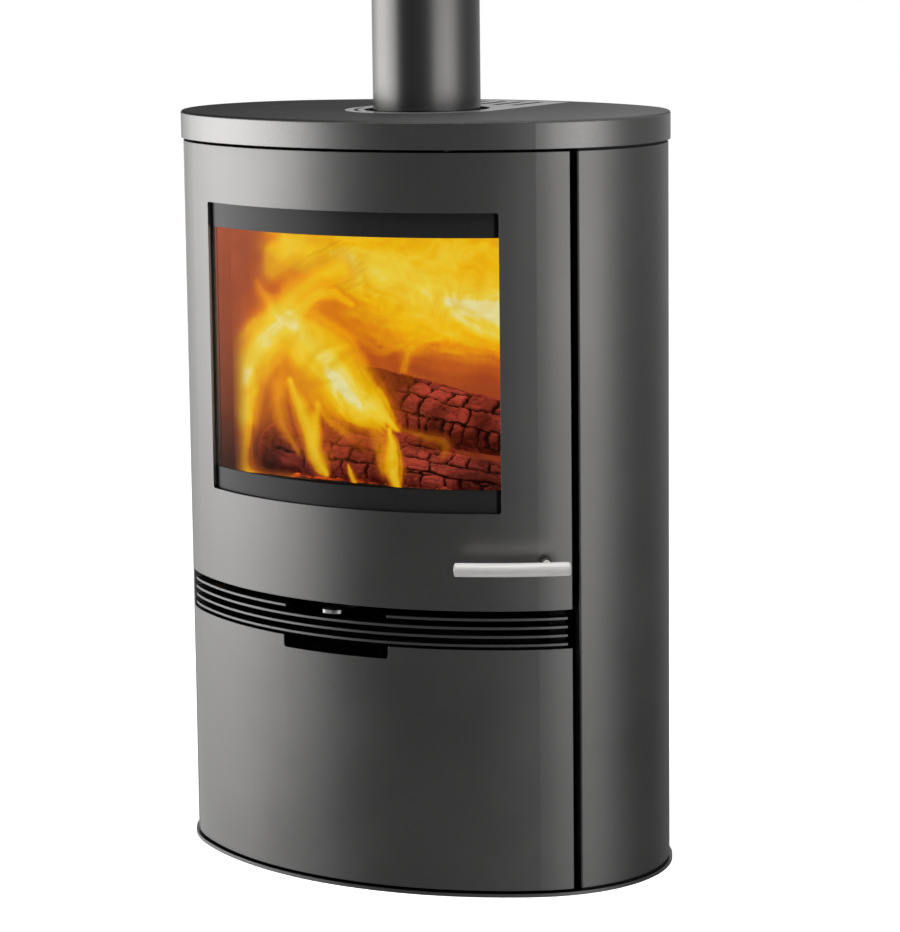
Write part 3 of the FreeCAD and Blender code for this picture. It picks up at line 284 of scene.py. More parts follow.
def painted_firelight(g):
    """Painted firelight: the colour given to surfaces as the light that the fire casts on them."""
    glow = [(0.32, (0.30, 0.052, 0.014)), (0.52, (0.40, 0.073, 0.020)), (0.70, (0.50, 0.098, 0.023))]
    return g.ramp(g.noise(6.0, detail=4.0, roughness=0.6, distortion=0.6), glow)


def firebrick(name):
    """Rough board, sooted in patches, with painted firelight that grows darker towards the hearth and stops
    at the baffle's top.
    """
    painted_light_low, painted_light_high = 0.54, 0.80
    patches = [(0.30, (0.03, 0.025, 0.022)), (0.50, (0.12, 0.085, 0.055)), (0.70, (0.20, 0.150, 0.100))]
    g = Finish(name)
    grit = g.noise(260.0, roughness=0.7)
    base = g.ramp(g.noise(9.0, detail=4.0, roughness=0.6), patches)
    base = g.mix(g.span(grit, 0.35, 0.65, 0.0, 0.35), base, (0.05, 0.04, 0.03))
    # Painted firelight as emission: none above the baffle's top, fading downwards towards the hearth.
    height = g.along("Z")
    under_baffle_top = g.math("LESS_THAN", height, BAFFLE_TOP - 0.001)
    glow = g.math("MULTIPLY", under_baffle_top, g.span(height, painted_light_low, painted_light_high, 0.10, 0.95))
    return g.surface(g.principled(Base_Color=base, Roughness=0.95, Normal=g.bump(grit, 0.5, 0.001),
                                  Emission_Color=painted_firelight(g), Emission_Strength=glow))


def sooted_steel_painted_glow(name, reach, front):
    """Sooted firebox steel with painted firelight as emission, inside a reach from the middle and behind a
    front.
    """
    painted_light_low, painted_light_high, painted_light_top = 0.56, 0.80, 0.95
    g = Finish(name)
    soot = g.noise(40.0, detail=4.0, roughness=0.6)
    base = g.mix(soot, (0.010, 0.010, 0.010), (0.035, 0.033, 0.031))
    height = g.along("Z")
    # Painted firelight: only within the reach, behind the front and below its top, brighter higher up.
    within = g.math("LESS_THAN", g.math("ABSOLUTE", g.along("X")), reach)
    behind = g.math("GREATER_THAN", g.along("Y"), front)
    lit = g.math("MULTIPLY", g.math("MULTIPLY", within, behind), g.math("LESS_THAN", height, painted_light_top))
    glow = g.math("MULTIPLY", lit, g.span(height, painted_light_low, painted_light_high, 0.10, 0.90))
    return g.surface(g.principled(Base_Color=base, Roughness=0.75, Normal=g.bump(soot, 0.4, 0.001),
                                  Emission_Color=painted_firelight(g), Emission_Strength=glow))


def pane(name):
    """Clear heat-proof glass with a dark printed band along its bottom and top, and painted shade, near
    black, at the band's two ends.
    """
    clear_low, clear_high = 0.557, 0.8935
    print_end, painted_shade_from = 0.2235, 0.2245
    g = Finish(name)
    height = g.along("Z")
    over_low = g.math("GREATER_THAN", height, clear_low)
    under_high = g.math("LESS_THAN", height, clear_high)
    window = g.math("MULTIPLY", over_low, under_high)
    soot = g.span(g.noise(6.0, detail=4.0, roughness=0.6), 0.45, 0.75, 0.0, 0.05)
    tint = g.mix(soot, (0.93, 0.91, 0.88), (0.45, 0.40, 0.34))
    through = g.node("ShaderNodeBsdfTransparent", Color=tint).outputs[0]
    shine = g.node("ShaderNodeBsdfGlossy", Roughness=0.03).outputs[0]
    mirrored = g.math("MULTIPLY", g.node("ShaderNodeFresnel", IOR=1.35).outputs[0], 0.25)
    outside = g.math("SUBTRACT", 1.0, g.geometry("Backfacing"))
    glass = g.layered(g.math("MULTIPLY", mirrored, outside), through, shine)
    dots = g.span(g.cells(700.0, "F1"), 0.2, 0.6, 0.0, 0.4)
    ink = g.mix(dots, (0.012, 0.012, 0.012), (0.03, 0.03, 0.03))
    # Past the print's ends the band is near black: painted shade at the window's sides.
    printed = g.span(g.math("ABSOLUTE", g.along("X")), print_end, painted_shade_from, 1.0, 0.0)
    band = g.principled(Base_Color=g.mix(printed, (0.001, 0.001, 0.001), ink), Specular_IOR_Level=0.5,
                        Roughness=g.span(printed, 0.0, 1.0, 0.95, 0.30))
    return g.surface(g.layered(window, band, glass))


def rope(name):
    """Braided glass-fibre rope."""
    g = Finish(name)
    strands = g.noise(700.0, roughness=0.7)
    base = g.mix(g.vary(strands, 0.0, 1.0), (0.05, 0.05, 0.05), (0.17, 0.165, 0.16))
    return g.surface(g.principled(Base_Color=base, Roughness=0.95, Normal=g.bump(strands, 0.7, 0.001)))


def charred(name):
    """Charred wood: glowing dull red blocks of coal between dark cracks, ash on some of them."""
    g = Finish(name)
    crack = g.attribute("crack")
    fibre = g.noise(1.0, detail=4.0, roughness=0.6, vector=g.stretched(60.0, 260.0, 260.0))
    ash = g.span(g.noise(70.0, detail=4.0, roughness=0.65), 0.52, 0.72, 0.0, 1.0)
    base = g.mix(crack, (0.060, 0.026, 0.020), (0.006, 0.004, 0.003))
    base = g.mix(g.math("MULTIPLY", ash, 0.3), base, (0.16, 0.11, 0.10))
    heat = g.span(g.noise(13.0, roughness=0.6), 0.40, 0.64, 0.0, 1.0)
    warm = g.mix(heat, (0.070, 0.006, 0.004), (0.46, 0.056, 0.038))
    warm = g.mix(g.span(fibre, 0.35, 0.65, 0.0, 0.45), warm, (0.08, 0.006, 0.004))
    # Painted light: the coals' glow is raised on faces that turn up and lowered on faces that turn down.
    painted_light_from_above = g.span(g.along("Z", g.geometry("Normal")), -0.6, 0.9, 0.35, 1.25)
    warm = g.mix(1.0, warm, g.grey(painted_light_from_above), "MULTIPLY")
    glow = g.mix(g.span(crack, 0.10, 0.75, 0.0, 1.0), warm, (0.004, 0.0003, 0.0002))
    height = g.math("ADD", fibre, g.math("MULTIPLY", g.noise(240.0), 0.4))
    return g.surface(g.principled(Base_Color=base, Roughness=0.9, Normal=g.bump(height, 0.5, 0.002),
                                  Emission_Color=glow, Emission_Strength=0.95))


def embers(name):
    """A bed of ash with glowing coals."""
    coal = [(0.0, (0.06, 0.004, 0.001)), (0.5, (0.7, 0.08, 0.01)), (1.0, (1.0, 0.35, 0.05))]
    g = Finish(name)
    lump = g.cells(70.0, "DISTANCE_TO_EDGE")
    heat = g.span(g.noise(11.0, detail=4.0, roughness=0.6), 0.42, 0.65, 0.0, 1.0)
    base = g.mix(g.span(lump, 0.0, 0.3, 0.0, 1.0), (0.02, 0.015, 0.012), (0.17, 0.15, 0.14))
    spark = g.math("MULTIPLY", g.span(lump, 0.25, 0.0, 0.0, 1.0), heat)
    return g.surface(g.principled(Base_Color=base, Roughness=0.95, Normal=g.bump(lump, 0.8, 0.004),
                                  Emission_Color=g.ramp(spark, coal), Emission_Strength=1.2))


def glowing(g, colour, cover):
    """A see-through surface that glows in a colour where it covers."""
    light = g.node("ShaderNodeEmission", Color=colour, Strength=1.0).outputs[0]
    clear = g.node("ShaderNodeBsdfTransparent").outputs[0]
    return g.surface(g.layered(cover, clear, light))


def flame(name):
    """Flame: its colour and its cover from the sheet, both a little uneven."""
    colours = [(0.0, (0.42, 0.055, 0.010)), (0.25, (0.72, 0.16, 0.010)), (0.48, (1.0, 0.38, 0.003)),
               (0.70, (1.0, 0.60, 0.006)), (0.86, (0.96, 0.74, 0.06)), (1.0, (0.90, 0.86, 0.40))]
    g = Finish(name)
    waver = g.noise(22.0, detail=4.0, distortion=1.2)
    heat = g.math("MULTIPLY", g.attribute("fire_heat"), g.vary(waver, 0.90, 1.10))
    thinned = g.span(waver, 0.25, 0.60, 0.85, 1.0)
    cover = g.math("MULTIPLY", g.attribute("fire_cover"), thinned, clamp=True)
    return glowing(g, g.ramp(heat, colours), cover)


def haze(name):
    """The glowing haze behind the flames: red-brown clouds, darker and brighter, clear at its two ends."""
    clouds = [(0.0, (0.08, 0.009, 0.004)), (0.35, (0.34, 0.056, 0.018)), (0.70, (0.46, 0.084, 0.022)),
              (1.0, (0.60, 0.120, 0.023))]
    end = 0.03
    g = Finish(name)
    uv = g.node("ShaderNodeTexCoord").outputs["UV"]
    across, rise = g.along("X", uv), g.along("Y", uv)
    swirl = g.noise(1.0, detail=5.0, vector=g.stretched(9.0, 9.0, 11.0), distortion=1.2)
    level = g.math("MULTIPLY", g.span(swirl, 0.25, 0.75, 0.25, 1.0), g.span(rise, 0.12, 0.45, 0.3, 1.0))
    from_left, from_right = g.span(across, 0.0, end, 0.0, 1.0), g.span(across, 1.0, 1.0 - end, 0.0, 1.0)
    return glowing(g, g.ramp(level, clouds), g.math("MULTIPLY", from_left, from_right))


def finish_nodes():
    """Gives every CAD node its finish."""
    finishes = [
        (paint("casing_paint", (0.30, 0.296, 0.292), metallic=1.0, roughness=0.33),
         ["door_panel", "drawer_front", "left_side_panel", "right_side_panel", "back_panel", "base_plate",
          "louvre_bars"]),
        (cast_top("top_casting"), ["top_plate"]),
        (paint("insert_casting", (0.20, 0.198, 0.195), metallic=0.35, roughness=0.20, grain=0.06),
         ["top_grille"]),
        (paint("flue_paint", (0.21, 0.207, 0.204), metallic=1.0, roughness=0.24, grain=0.08),
         ["flue_pipe", "flue_collar"]),
        (paint("firebox_paint", (0.028, 0.028, 0.028), metallic=0.0, roughness=0.62, grain=0.2, lump=0.5),
         ["firebox_back", "firebox_floor", "firebox_roof", "door_frame", "left_support", "right_support",
          "rear_support", "plinth_ring", "top_ring", "hinge_brackets", "hinge_knuckles", "latch_keeper"]),
        (sooted_steel_painted_glow("sooted_wall_painted_glow", reach=0.242, front=-0.2), ["firebox_left", "firebox_right"]),
        (sooted_steel_painted_glow("sooted_front_painted_glow", reach=0.262, front=-0.157), ["firebox_front"]),
        (paint("matt_black", (0.006, 0.006, 0.006), metallic=0.0, roughness=0.85, grain=0.2),
         ["louvre_brackets", "deck_plate"]),
        (bare_metal("zinc_sheet", (0.52, 0.52, 0.53), roughness=0.42, along=(0.35, 0.35, 1.0)),
         ["levelling_screws", "levelling_nuts", "panel_screws", "retainer_screws", "flue_collar_bolts",
          "runner_rails", "drawer_rails", "drawer_tray", "ash_pan", "glass_retainers", "air_lever",
          "lever_pin", "valve_plate", "hinge_pins"]),
        (bare_metal("brushed_steel", (0.80, 0.785, 0.76), roughness=0.34, along=(0.08, 0.08, 1.6),
                    metallic=0.25),
         ["handle_bar", "handle_shaft"]),
        (bare_metal("polished_tab", (0.86, 0.85, 0.84), roughness=0.12, depth=0.06), ["lever_tab"]),
        (paint("boss_paint", (0.16, 0.158, 0.155), metallic=0.9, roughness=0.35),
         ["handle_boss", "latch_cam"]),
        (paint("fire_iron", (0.035, 0.034, 0.033), metallic=0.2, roughness=0.75, grain=0.25, lump=1.0),
         ["grate", "log_guard"]),
        (firebrick("firebrick"),
         ["firebrick_left", "firebrick_right", "firebrick_back", "firebrick_floor", "baffle"]),
        (rope("seal_rope"), ["door_seal", "glass_gasket"]),
        (pane("pane"), ["door_glass"]),
    ]
    for material, names in finishes:
        for name in names:
            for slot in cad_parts[name].material_slots:
                slot.material = material


def new_piece(name, mesh, material, body):
    """Turns a bmesh into an object that rides on a body."""
    bmesh.ops.recalc_face_normals(mesh, faces=mesh.faces)
    for face in mesh.faces:
        face.smooth = True
    data = bpy.data.meshes.new(name)
    mesh.to_mesh(data)
    mesh.free()
    data.materials.append(material)
    piece = bpy.data.objects.new(name, data)
    bpy.context.scene.collection.objects.link(piece)
    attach(piece, body)
    return piece


def sheet(columns, rows, layers=(), uvs=False):
    """A flat mesh of columns by rows, each vertex at its share of both."""
    mesh = bmesh.new()
    for name in layers:
        mesh.verts.layers.float.new(name)
    if uvs:
        mesh.loops.layers.uv.new("UVMap")
    bmesh.ops.create_grid(mesh, x_segments=columns, y_segments=rows, size=0.5, calc_uvs=uvs,
                          matrix=Matrix.Translation((0.5, 0.5, 0)))
    return mesh


def open_edges(mesh):
    return [edge for edge in mesh.edges if edge.is_boundary]


def close_seams(mesh):
    """Joins the edges of a rolled sheet."""
    bmesh.ops.remove_doubles(mesh, verts=mesh.verts, dist=1e-6)


def between(low, high, share):
    return low + (high - low)*share


# Charred skin, in metres: blocks in rows along the log, the cracks between them and the unevenness of both.
CHAR_ROWS = 8
BLOCK_LENGTH = 0.019
BLOCK_LENGTH_SPREAD = 0.012
BLOCK_SHIFT_SHARE = 0.36
JOINED_BLOCKS_SHARE = 0.14
JOINED_BLOCKS_GAP = 0.004
CRACK_WIDTH = 0.0034
CRACK_WIDTH_SPREAD = 0.0028
CRACK_DEPTH = 0.0060
CRACK_WANDER = 0.006
CRACK_SHAKE = (0.0022, 0.0020)
HAIRLINE_DEPTH_SHARE = 0.45
HAIRLINE_WIDTH = 0.09
# Log: rings along it, vertices round it, and its lumps, bend and broken ends.
LOG_RINGS = 220
LOG_AROUND = 132
LOG_LUMP_SHARE = 0.10
LOG_BEND = 0.004
LOG_SPLIT_TURN = 0.9
LOG_END_SHARE = 0.05
LOG_END_LOSS = 0.30
LOG_END_BULGE = 0.004


def scatter(first, second):
    """A steady random number for a pair of numbers."""
    return noise.cell(Vector((17.31*first + 0.5, 17.31*second + 0.5, 0.5)))*0.5 + 0.5


def char_crack(along, round_by, row_height, seed):
    """The depth of charred wood's cracks at a place on its skin: 0 on a block, 1 in the bottom of a crack."""
    place = Vector((along*45 + seed, round_by*45, seed))
    fine = place*3.7
    aside, fine_aside = place + Vector((7, 3, 1)), fine + Vector((1, 5, 9))
    along += CRACK_WANDER*noise.noise(place) + CRACK_SHAKE[0]*noise.noise(fine)
    round_by += CRACK_WANDER*noise.noise(aside) + CRACK_SHAKE[1]*noise.noise(fine_aside)
    rows_round = round_by/row_height
    row = math.floor(rows_round) % CHAR_ROWS
    to_row = abs(rows_round - round(rows_round))*row_height
    length = BLOCK_LENGTH + BLOCK_LENGTH_SPREAD*scatter(row, seed)
    blocks_along = along/length + scatter(row, seed + 2)
    block = math.floor(blocks_along + 0.5)
    to_block = abs(blocks_along - block - BLOCK_SHIFT_SHARE*(scatter(block, row) - 0.5))*length
    if scatter(block, row + 3) < JOINED_BLOCKS_SHARE:
        to_block += JOINED_BLOCKS_GAP
    width = CRACK_WIDTH + CRACK_WIDTH_SPREAD*noise.noise(place*0.9 + Vector((3, 3, 3)))
    crack = max(0.0, 1 - min(to_row*1.35, to_block)/width)
    cell_distances = noise.voronoi(place*1.35)[0]
    hairline = max(0.0, 1 - (cell_distances[1] - cell_distances[0])/HAIRLINE_WIDTH)
    return min(1.0, max(crack**0.7, HAIRLINE_DEPTH_SHARE*hairline))


def log(name, start, end, radii, seed, material, split):
    """A charred log between two points: a lumpy, tapered stem with blocky cracks and broken ends."""
    start, end = Vector(start), Vector(end)
    length = (end - start).length
    axis = (end - start).normalized()
    side = axis.cross(Vector((0, 0, 1))).normalized()
    up = side.cross(axis)
    mesh = sheet(LOG_RINGS, LOG_AROUND, ["crack"])
    cracks = mesh.verts.layers.float["crack"]
    for vert in mesh.verts:
        share, angle = vert.co.x, 2*math.pi*(vert.co.y % 0.999999)
        radius = between(*radii, share)
        centre = start.lerp(end, share) + up*LOG_BEND*math.sin(3.1*share + seed)
        flat = 1.0 - split*max(0.0, math.cos(angle - LOG_SPLIT_TURN))**2
        past_end = max(0.0, abs(2*share - 1) - (1 - LOG_END_SHARE))/LOG_END_SHARE
        skin = Vector((share*5 + seed, math.cos(angle), math.sin(angle)))
        lump = LOG_LUMP_SHARE*noise.fractal(skin, 0.8, 2.0, 3)
        crack = char_crack(share*length, angle*radius, 2*math.pi*radius/CHAR_ROWS, seed)
        reach = radius*flat*(1.0 - LOG_END_LOSS*past_end)*(1 + lump) - CRACK_DEPTH*crack
        vert.co = centre + (side*math.cos(angle) + up*math.sin(angle))*reach
        vert[cracks] = crack
    close_seams(mesh)
    ends = bmesh.ops.holes_fill(mesh, edges=open_edges(mesh), sides=LOG_AROUND + 1)["faces"]
    middle = start.lerp(end, 0.5)
    for hub in bmesh.ops.poke(mesh, faces=ends)["verts"]:
        hub.co += axis*math.copysign(LOG_END_BULGE, (hub.co - middle).dot(axis))
    return new_piece(name, mesh, material, "stove")


# Ember bed: its corners in plan, its rim's height over the floor brick, its thickness there and its heaps.
BED_LOW = (-0.195, -0.128)
BED_HIGH = (0.195, 0.125)
BED_RIM = 0.0006
BED_THICK = 0.0005
BED_HEAP = 0.016
BED_HEAP_SPREAD = 0.012
BED_SLOPES = (12, 8)


def ember_bed(material):
    """Ash and coals heaped on the grate and the floor brick, with a flat underside."""
    mesh = sheet(130, 84)
    for vert in mesh.verts:
        across, inward = vert.co.x, vert.co.y
        x, y = between(BED_LOW[0], BED_HIGH[0], across), between(BED_LOW[1], BED_HIGH[1], inward)
        slope = min(1.0, BED_SLOPES[0]*min(across, 1 - across), BED_SLOPES[1]*min(inward, 1 - inward))
        lump = 0.6 - noise.voronoi(Vector((x*60, y*60, 3.0)))[0][0]
        wave = noise.fractal(Vector((x*12, y*12, 1.0)), 0.8, 2.0, 3)
        heap = BED_HEAP_SPREAD*wave + BED_HEAP_SPREAD*lump + BED_HEAP
        vert.co = (x, y, FLOOR_TOP + BED_RIM + max(0.0, heap)*slope)
    skirt = bmesh.ops.extrude_edge_only(mesh, edges=open_edges(mesh))["geom"]
    foot = [part for part in skirt if isinstance(part, bmesh.types.BMVert)]
    bmesh.ops.translate(mesh, verts=foot, vec=(0, 0, -BED_THICK))
    rim = open_edges(mesh)
    bmesh.ops.holes_fill(mesh, edges=rim, sides=len(rim))
    return new_piece("ember_bed", mesh, material, "stove")


# Flames, each with its heat, its cover, and points along it in millimetres: across the main view from the
# stove's middle, height, half width.
FRONT_FLAMES = {
    "left arm": (0.84, 0.88, [(-182, 776, 13), (-205, 754, 24), (-245, 705, 30), (-254, 680, 25),
                              (-254, 626, 13)]),
    "left arm middle": (1.00, 0.55, [(-201, 757, 8), (-225, 726, 13), (-245, 699, 14), (-252, 676, 10)]),
    "left arm foot": (0.58, 0.75, [(-253, 641, 13), (-256, 581, 9), (-256, 552, 12)]),
    "right arm": (0.86, 0.92, [(-205, 778, 10), (-180, 760, 25), (-130, 712, 38), (-97, 661, 31),
                               (-64, 631, 13)]),
    "right arm middle": (0.93, 0.80, [(-182, 759, 10), (-132, 702, 22), (-97, 658, 16), (-81, 645, 9)]),
    "right arm core": (1.30, 0.80, [(-137, 693, 8), (-119, 677, 14), (-93, 653, 5)]),
    "right arm tip": (0.72, 0.78, [(-75, 666, 15), (-61, 647, 11), (-38, 620, 2)]),
    "high arc": (0.74, 0.62, [(-189, 791, 12), (-168, 812, 13), (-115, 839, 15)]),
    "low arc": (0.76, 0.60, [(-177, 779, 12), (-139, 804, 10), (-98, 790, 5)]),
    "crown": (0.86, 0.80, [(-205, 774, 12), (-188, 765, 20), (-175, 748, 21)]),
    "left tip": (0.46, 0.45, [(-189, 774, 13), (-222, 800, 10), (-232, 815, 7)]),
    "between the arms": (0.46, 0.45, [(-188, 727, 23), (-164, 677, 29), (-122, 642, 16)]),
    "tongue": (0.86, 0.88, [(-188, 679, 4), (-169, 630, 10), (-152, 578, 10), (-138, 552, 3)]),
    "tongue side": (0.68, 0.66, [(-148, 646, 4), (-154, 605, 8)]),
    "left wisp": (0.44, 0.50, [(-205, 672, 11), (-200, 620, 9), (-179, 578, 3)]),
    "right tongue": (0.82, 0.88, [(-48, 619, 3), (-45, 576, 11), (-40, 544, 4)]),
    "right tongue side": (0.44, 0.45, [(-69, 629, 11), (-66, 606, 13), (-57, 566, 6)]),
    "right wisp": (0.34, 0.36, [(-46, 629, 4), (-8, 614, 5), (21, 606, 8), (20, 590, 5)]),
    "spark": (0.76, 0.75, [(-109, 568, 1), (-104, 555, 3), (-98, 540, 2)]),
    "low glow": (0.60, 0.70, [(-256, 546, 7), (-229, 539, 6), (-144, 535, 3)]),
    "left veil": (0.36, 0.42, [(-195, 762, 43), (-235, 701, 46), (-246, 641, 32)]),
    "right veil": (0.32, 0.36, [(-166, 752, 46), (-144, 692, 52), (-104, 652, 40)]),
}
REAR_FLAMES = {
    "cloud": (0.74, 0.96, [(-191, 854, 31), (-144, 834, 49), (-20, 800, 70), (113, 786, 73), (160, 786, 66),
                           (200, 792, 40)]),
    "upper cloud": (0.66, 0.94, [(-102, 861, 27), (-43, 858, 38), (114, 860, 44), (195, 860, 30)]),
    "band": (0.90, 0.85, [(-115, 834, 18), (-74, 818, 31), (15, 784, 40), (113, 760, 42), (165, 752, 36),
                          (195, 748, 20)]),
    "band core": (1.35, 0.80, [(38, 773, 11), (79, 760, 24), (115, 752, 28), (160, 742, 22), (185, 735, 8)]),
    "fringe": (0.50, 0.75, [(-104, 756, 15), (-45, 739, 20), (38, 735, 15), (113, 732, 12), (185, 728, 10)]),
    "dome left": (0.50, 0.50, [(-28, 670, 4), (-16, 706, 7), (29, 724, 6), (51, 728, 6)]),
    "dome right": (0.34, 0.34, [(70, 727, 6), (93, 716, 5), (108, 698, 4)]),
    "wisp": (0.42, 0.40, [(-119, 733, 4), (-75, 707, 6), (-56, 700, 6), (-19, 717, 4)]),
    "left cloud": (0.60, 0.80, [(-213, 830, 16), (-204, 849, 25), (-184, 859, 28)]),
    "left haze": (0.34, 0.45, [(-233, 799, 23), (-210, 837, 23)]),
    "under the cloud": (0.38, 0.50, [(-145, 759, 27), (-87, 731, 28), (-16, 726, 24)]),
}
# Where the two sheets of flames stand, in metres: places across the main view, and Y there.
FRONT_DEPTHS = [(-0.300, -0.136), (0.100, -0.136)]
REAR_DEPTHS = [(-0.240, -0.125), (-0.200, -0.080), (-0.145, -0.010), (-0.105, 0.030), (-0.045, 0.060),
               (0.030, 0.080), (0.115, 0.090), (0.210, 0.090)]
# The sheets' left and right ends, feet and tops, and how wide each end fades.
FRONT_LIMITS = (-0.273, 0.060, 0.543, 0.900)
REAR_LIMITS = (-0.238, 0.205, 0.640, 0.930)
FRONT_FADES = (0.030, 0.030)
REAR_FADES = (0.030, 0.085)
# Seed of the noise that blows the flames' edges aside.
FLICKER_SEED = 7149
# A flame's thinnest half width in metres, its reach in half widths, and how fast heat and cover fall off.
THINNEST = 0.0008
FLAME_REACH = 2.6
FADE_FROM = 1.8
HEAT_FALL = 0.58
COVER_FALL = 0.42
# Heat past the bright level is pressed together, so that hot flames keep their colour.
BRIGHT_HEAT = 0.68
PRESSED_SHARE = 0.40
# A sheet's waves in metres, and how far a place is lowered for each metre that it stands out, which keeps it
# where it was in the main view.
WAVE_HEIGHT = 0.010
WAVE_SAG = 0.155
# Faces with less cover than this are cut away, and so are those that would reach the baffle.
LEAST_COVER = 0.015
BAFFLE_CLEAR_Z = 0.874
BAFFLE_CLEAR_Y = -0.05


def smooth_line(points, steps=14):
    """Places along a smooth line through points, the half width of the line among them."""
    knots = [Vector(point) for point in points]
    last = len(knots) - 1
    line = []
    for n in range(last):
        p0, p1, p2, p3 = (knots[min(max(n + k, 0), last)] for k in (-1, 0, 1, 2))
        for s in (step/steps for step in range(steps)):
            straight = (p2 - p0)*s
            bent = (2*p0 - 5*p1 + 4*p2 - p3)*s**2
            curled = (3*p1 - p0 - 3*p2 + p3)*s**3
            line.append(0.5*(2*p1 + straight + bent + curled))
    return numpy.array([*line, knots[-1]])


def ease(low, high, values):
    """0 at one end of a range, 1 at the other, with a smooth rise between."""
    share = numpy.clip((values - low)/(high - low), 0.0, 1.0)
    return share*share*(3 - 2*share)


def flicker(across, z, seed):
    """How far a flame's edge is blown aside at a place."""
    wide = noise.noise_vector(Vector((across*24, z*13, seed)))*0.0050
    fine = noise.noise_vector(Vector((across*80, z*44, seed + 5)))*0.0024
    thin = noise.noise_vector(Vector((across*210, z*120, seed + 9)))*0.0009
    return (wide + fine + thin)[:2]


def flame_at(places, points, number):
    """How many half widths places lie from a flame's middle line, and the flame's streaks there."""
    line = smooth_line(points)*0.001
    middle, half = line[:, :2], numpy.maximum(line[:, 2], THINNEST)
    gap, nearest = numpy.full(len(places), 9.0), numpy.zeros(len(places), int)
    for n, (across, z) in enumerate(middle):
        ratio = numpy.hypot(places[:, 0] - across, places[:, 1] - z)/half[n]
        closer = ratio < gap
        gap[closer], nearest[closer] = ratio[closer], n
    steps = numpy.diff(middle, axis=0, prepend=middle[:1])
    travel = numpy.cumsum(numpy.hypot(steps[:, 0], steps[:, 1]))
    ahead = numpy.gradient(middle, axis=0)
    ahead /= numpy.hypot(ahead[:, 0], ahead[:, 1])[:, None] + 1e-9
    apart = places - middle[nearest]
    sideways = (apart[:, 0]*ahead[nearest, 1] - apart[:, 1]*ahead[nearest, 0])/half[nearest]
    streak = numpy.zeros(len(places))
    for n in numpy.nonzero(gap < FLAME_REACH)[0]:
        s, t = sideways[n], travel[nearest[n]]
        streak[n] = noise.noise(Vector((s*2.4, t*13, 9.0*number)))
        streak[n] += 0.5*noise.noise(Vector((s*6.4, t*24, 9.0*number + 4)))
    return gap*(1 - 0.40*streak), streak


def flame_sheet(name, material, flames, depths, limits, fades, seed):
    """A wavy sheet of flames that stands across the main view, with their heat and cover on its vertices."""
    right = Vector((math.cos(VIEW_TURN), math.sin(VIEW_TURN), 0))
    near = Vector((math.sin(VIEW_TURN), -math.cos(VIEW_TURN), 0))
    left_end, right_end, bottom, top = limits
    mesh = sheet(240, 190, ["fire_heat", "fire_cover"])
    places = numpy.array([(between(left_end, right_end, vert.co.x), between(bottom, top, vert.co.y))
                          for vert in mesh.verts])
    across = places[:, 0]
    blown = places + numpy.array([flicker(a, z, seed) for a, z in places])
    heat, clear = numpy.zeros(len(places)), numpy.ones(len(places))
    for number, (level, cover, points) in enumerate(flames.values()):
        gap, streak = flame_at(blown, points, number)
        heat += (level*numpy.exp(-HEAT_FALL*gap**2)*(1 + 0.10*streak))**3
        clear *= 1 - cover*numpy.exp(-COVER_FALL*gap**2)*ease(FLAME_REACH, FADE_FROM, gap)
    heat = numpy.cbrt(heat)
    heat = numpy.where(heat > BRIGHT_HEAT, BRIGHT_HEAT + PRESSED_SHARE*(heat - BRIGHT_HEAT), heat)
    shown = ease(left_end, left_end + fades[0], across)*ease(right_end, right_end - fades[1], across)
    clear = 1 - (1 - clear)*shown
    stands_at = numpy.interp(across, [a for a, _ in depths], [y for _, y in depths])
    nearness = (stands_at - right.y*across)/near.y
    heats, covers = mesh.verts.layers.float["fire_heat"], mesh.verts.layers.float["fire_cover"]
    for vert, (a, z), depth, level, gone in zip(mesh.verts, places, nearness, heat, clear):
        wave = WAVE_HEIGHT*noise.noise(Vector((a*11, z*9, seed))) + WAVE_HEIGHT
        vert.co = right*a + near*(depth + wave) + Vector((0, 0, z - WAVE_SAG*wave))
        vert[heats], vert[covers] = level, 1 - gone

    def is_cut(face):
        bare = max(vert[covers] for vert in face.verts) < LEAST_COVER
        return bare or any(vert.co.z > BAFFLE_CLEAR_Z and vert.co.y > BAFFLE_CLEAR_Y for vert in face.verts)

    bmesh.ops.delete(mesh, geom=[face for face in mesh.faces if is_cut(face)], context="FACES")
    return new_piece(name, mesh, material, "stove")


# The haze in metres: its half width, Y at its ends, how far its middle is bowed back, its ripple and its top.
HAZE_HALF = 0.206
HAZE_Y = 0.112
HAZE_BOW = 0.010
HAZE_RIPPLE = 0.006
HAZE_TOP = 0.876
HAZE_LIFT = 0.002


def fire_haze(material):
    """A tall sheet of hazy flame across the back of the firebox."""
    mesh = sheet(60, 40, uvs=True)
    for vert in mesh.verts:
        share, rise = vert.co.x, vert.co.y
        ripple = HAZE_RIPPLE*noise.noise(Vector((share*7, rise*5, HAZE_BOW*40)))
        y = HAZE_Y + HAZE_BOW*4*share*(1 - share)
        z = between(FLOOR_TOP + HAZE_LIFT, HAZE_TOP, rise)
        vert.co = (between(-HAZE_HALF, HAZE_HALF, share), y + ripple, z)
    return new_piece("fire_haze", mesh, material, "stove")


def fire():
    """The fire: charred logs on a bed of embers, flames rising from them and glowing haze behind."""
    noise.seed_set(FLICKER_SEED)
    bark = charred("charred_wood")
    ember_bed(embers("ember_bed"))
    log("log_front", (-0.208, -0.094, 0.574), (0.200, -0.072, 0.547), (0.038, 0.027), 1.3, bark, split=0.25)
    log("log_rear", (-0.150, 0.030, 0.646), (0.196, 0.030, 0.588), (0.043, 0.041), 4.1, bark, split=0.20)
    log("log_left", (-0.196, 0.066, 0.560), (0.030, -0.014, 0.566), (0.040, 0.036), 8.7, bark, split=0.30)
    fire_haze(haze("fire_haze"))
    glow = flame("flames")
    flame_sheet("flames_high", glow, REAR_FLAMES, REAR_DEPTHS, REAR_LIMITS, REAR_FADES, seed=3.0)
    flame_sheet("flames_low", glow, FRONT_FLAMES, FRONT_DEPTHS, FRONT_LIMITS, FRONT_FADES, seed=8.0)


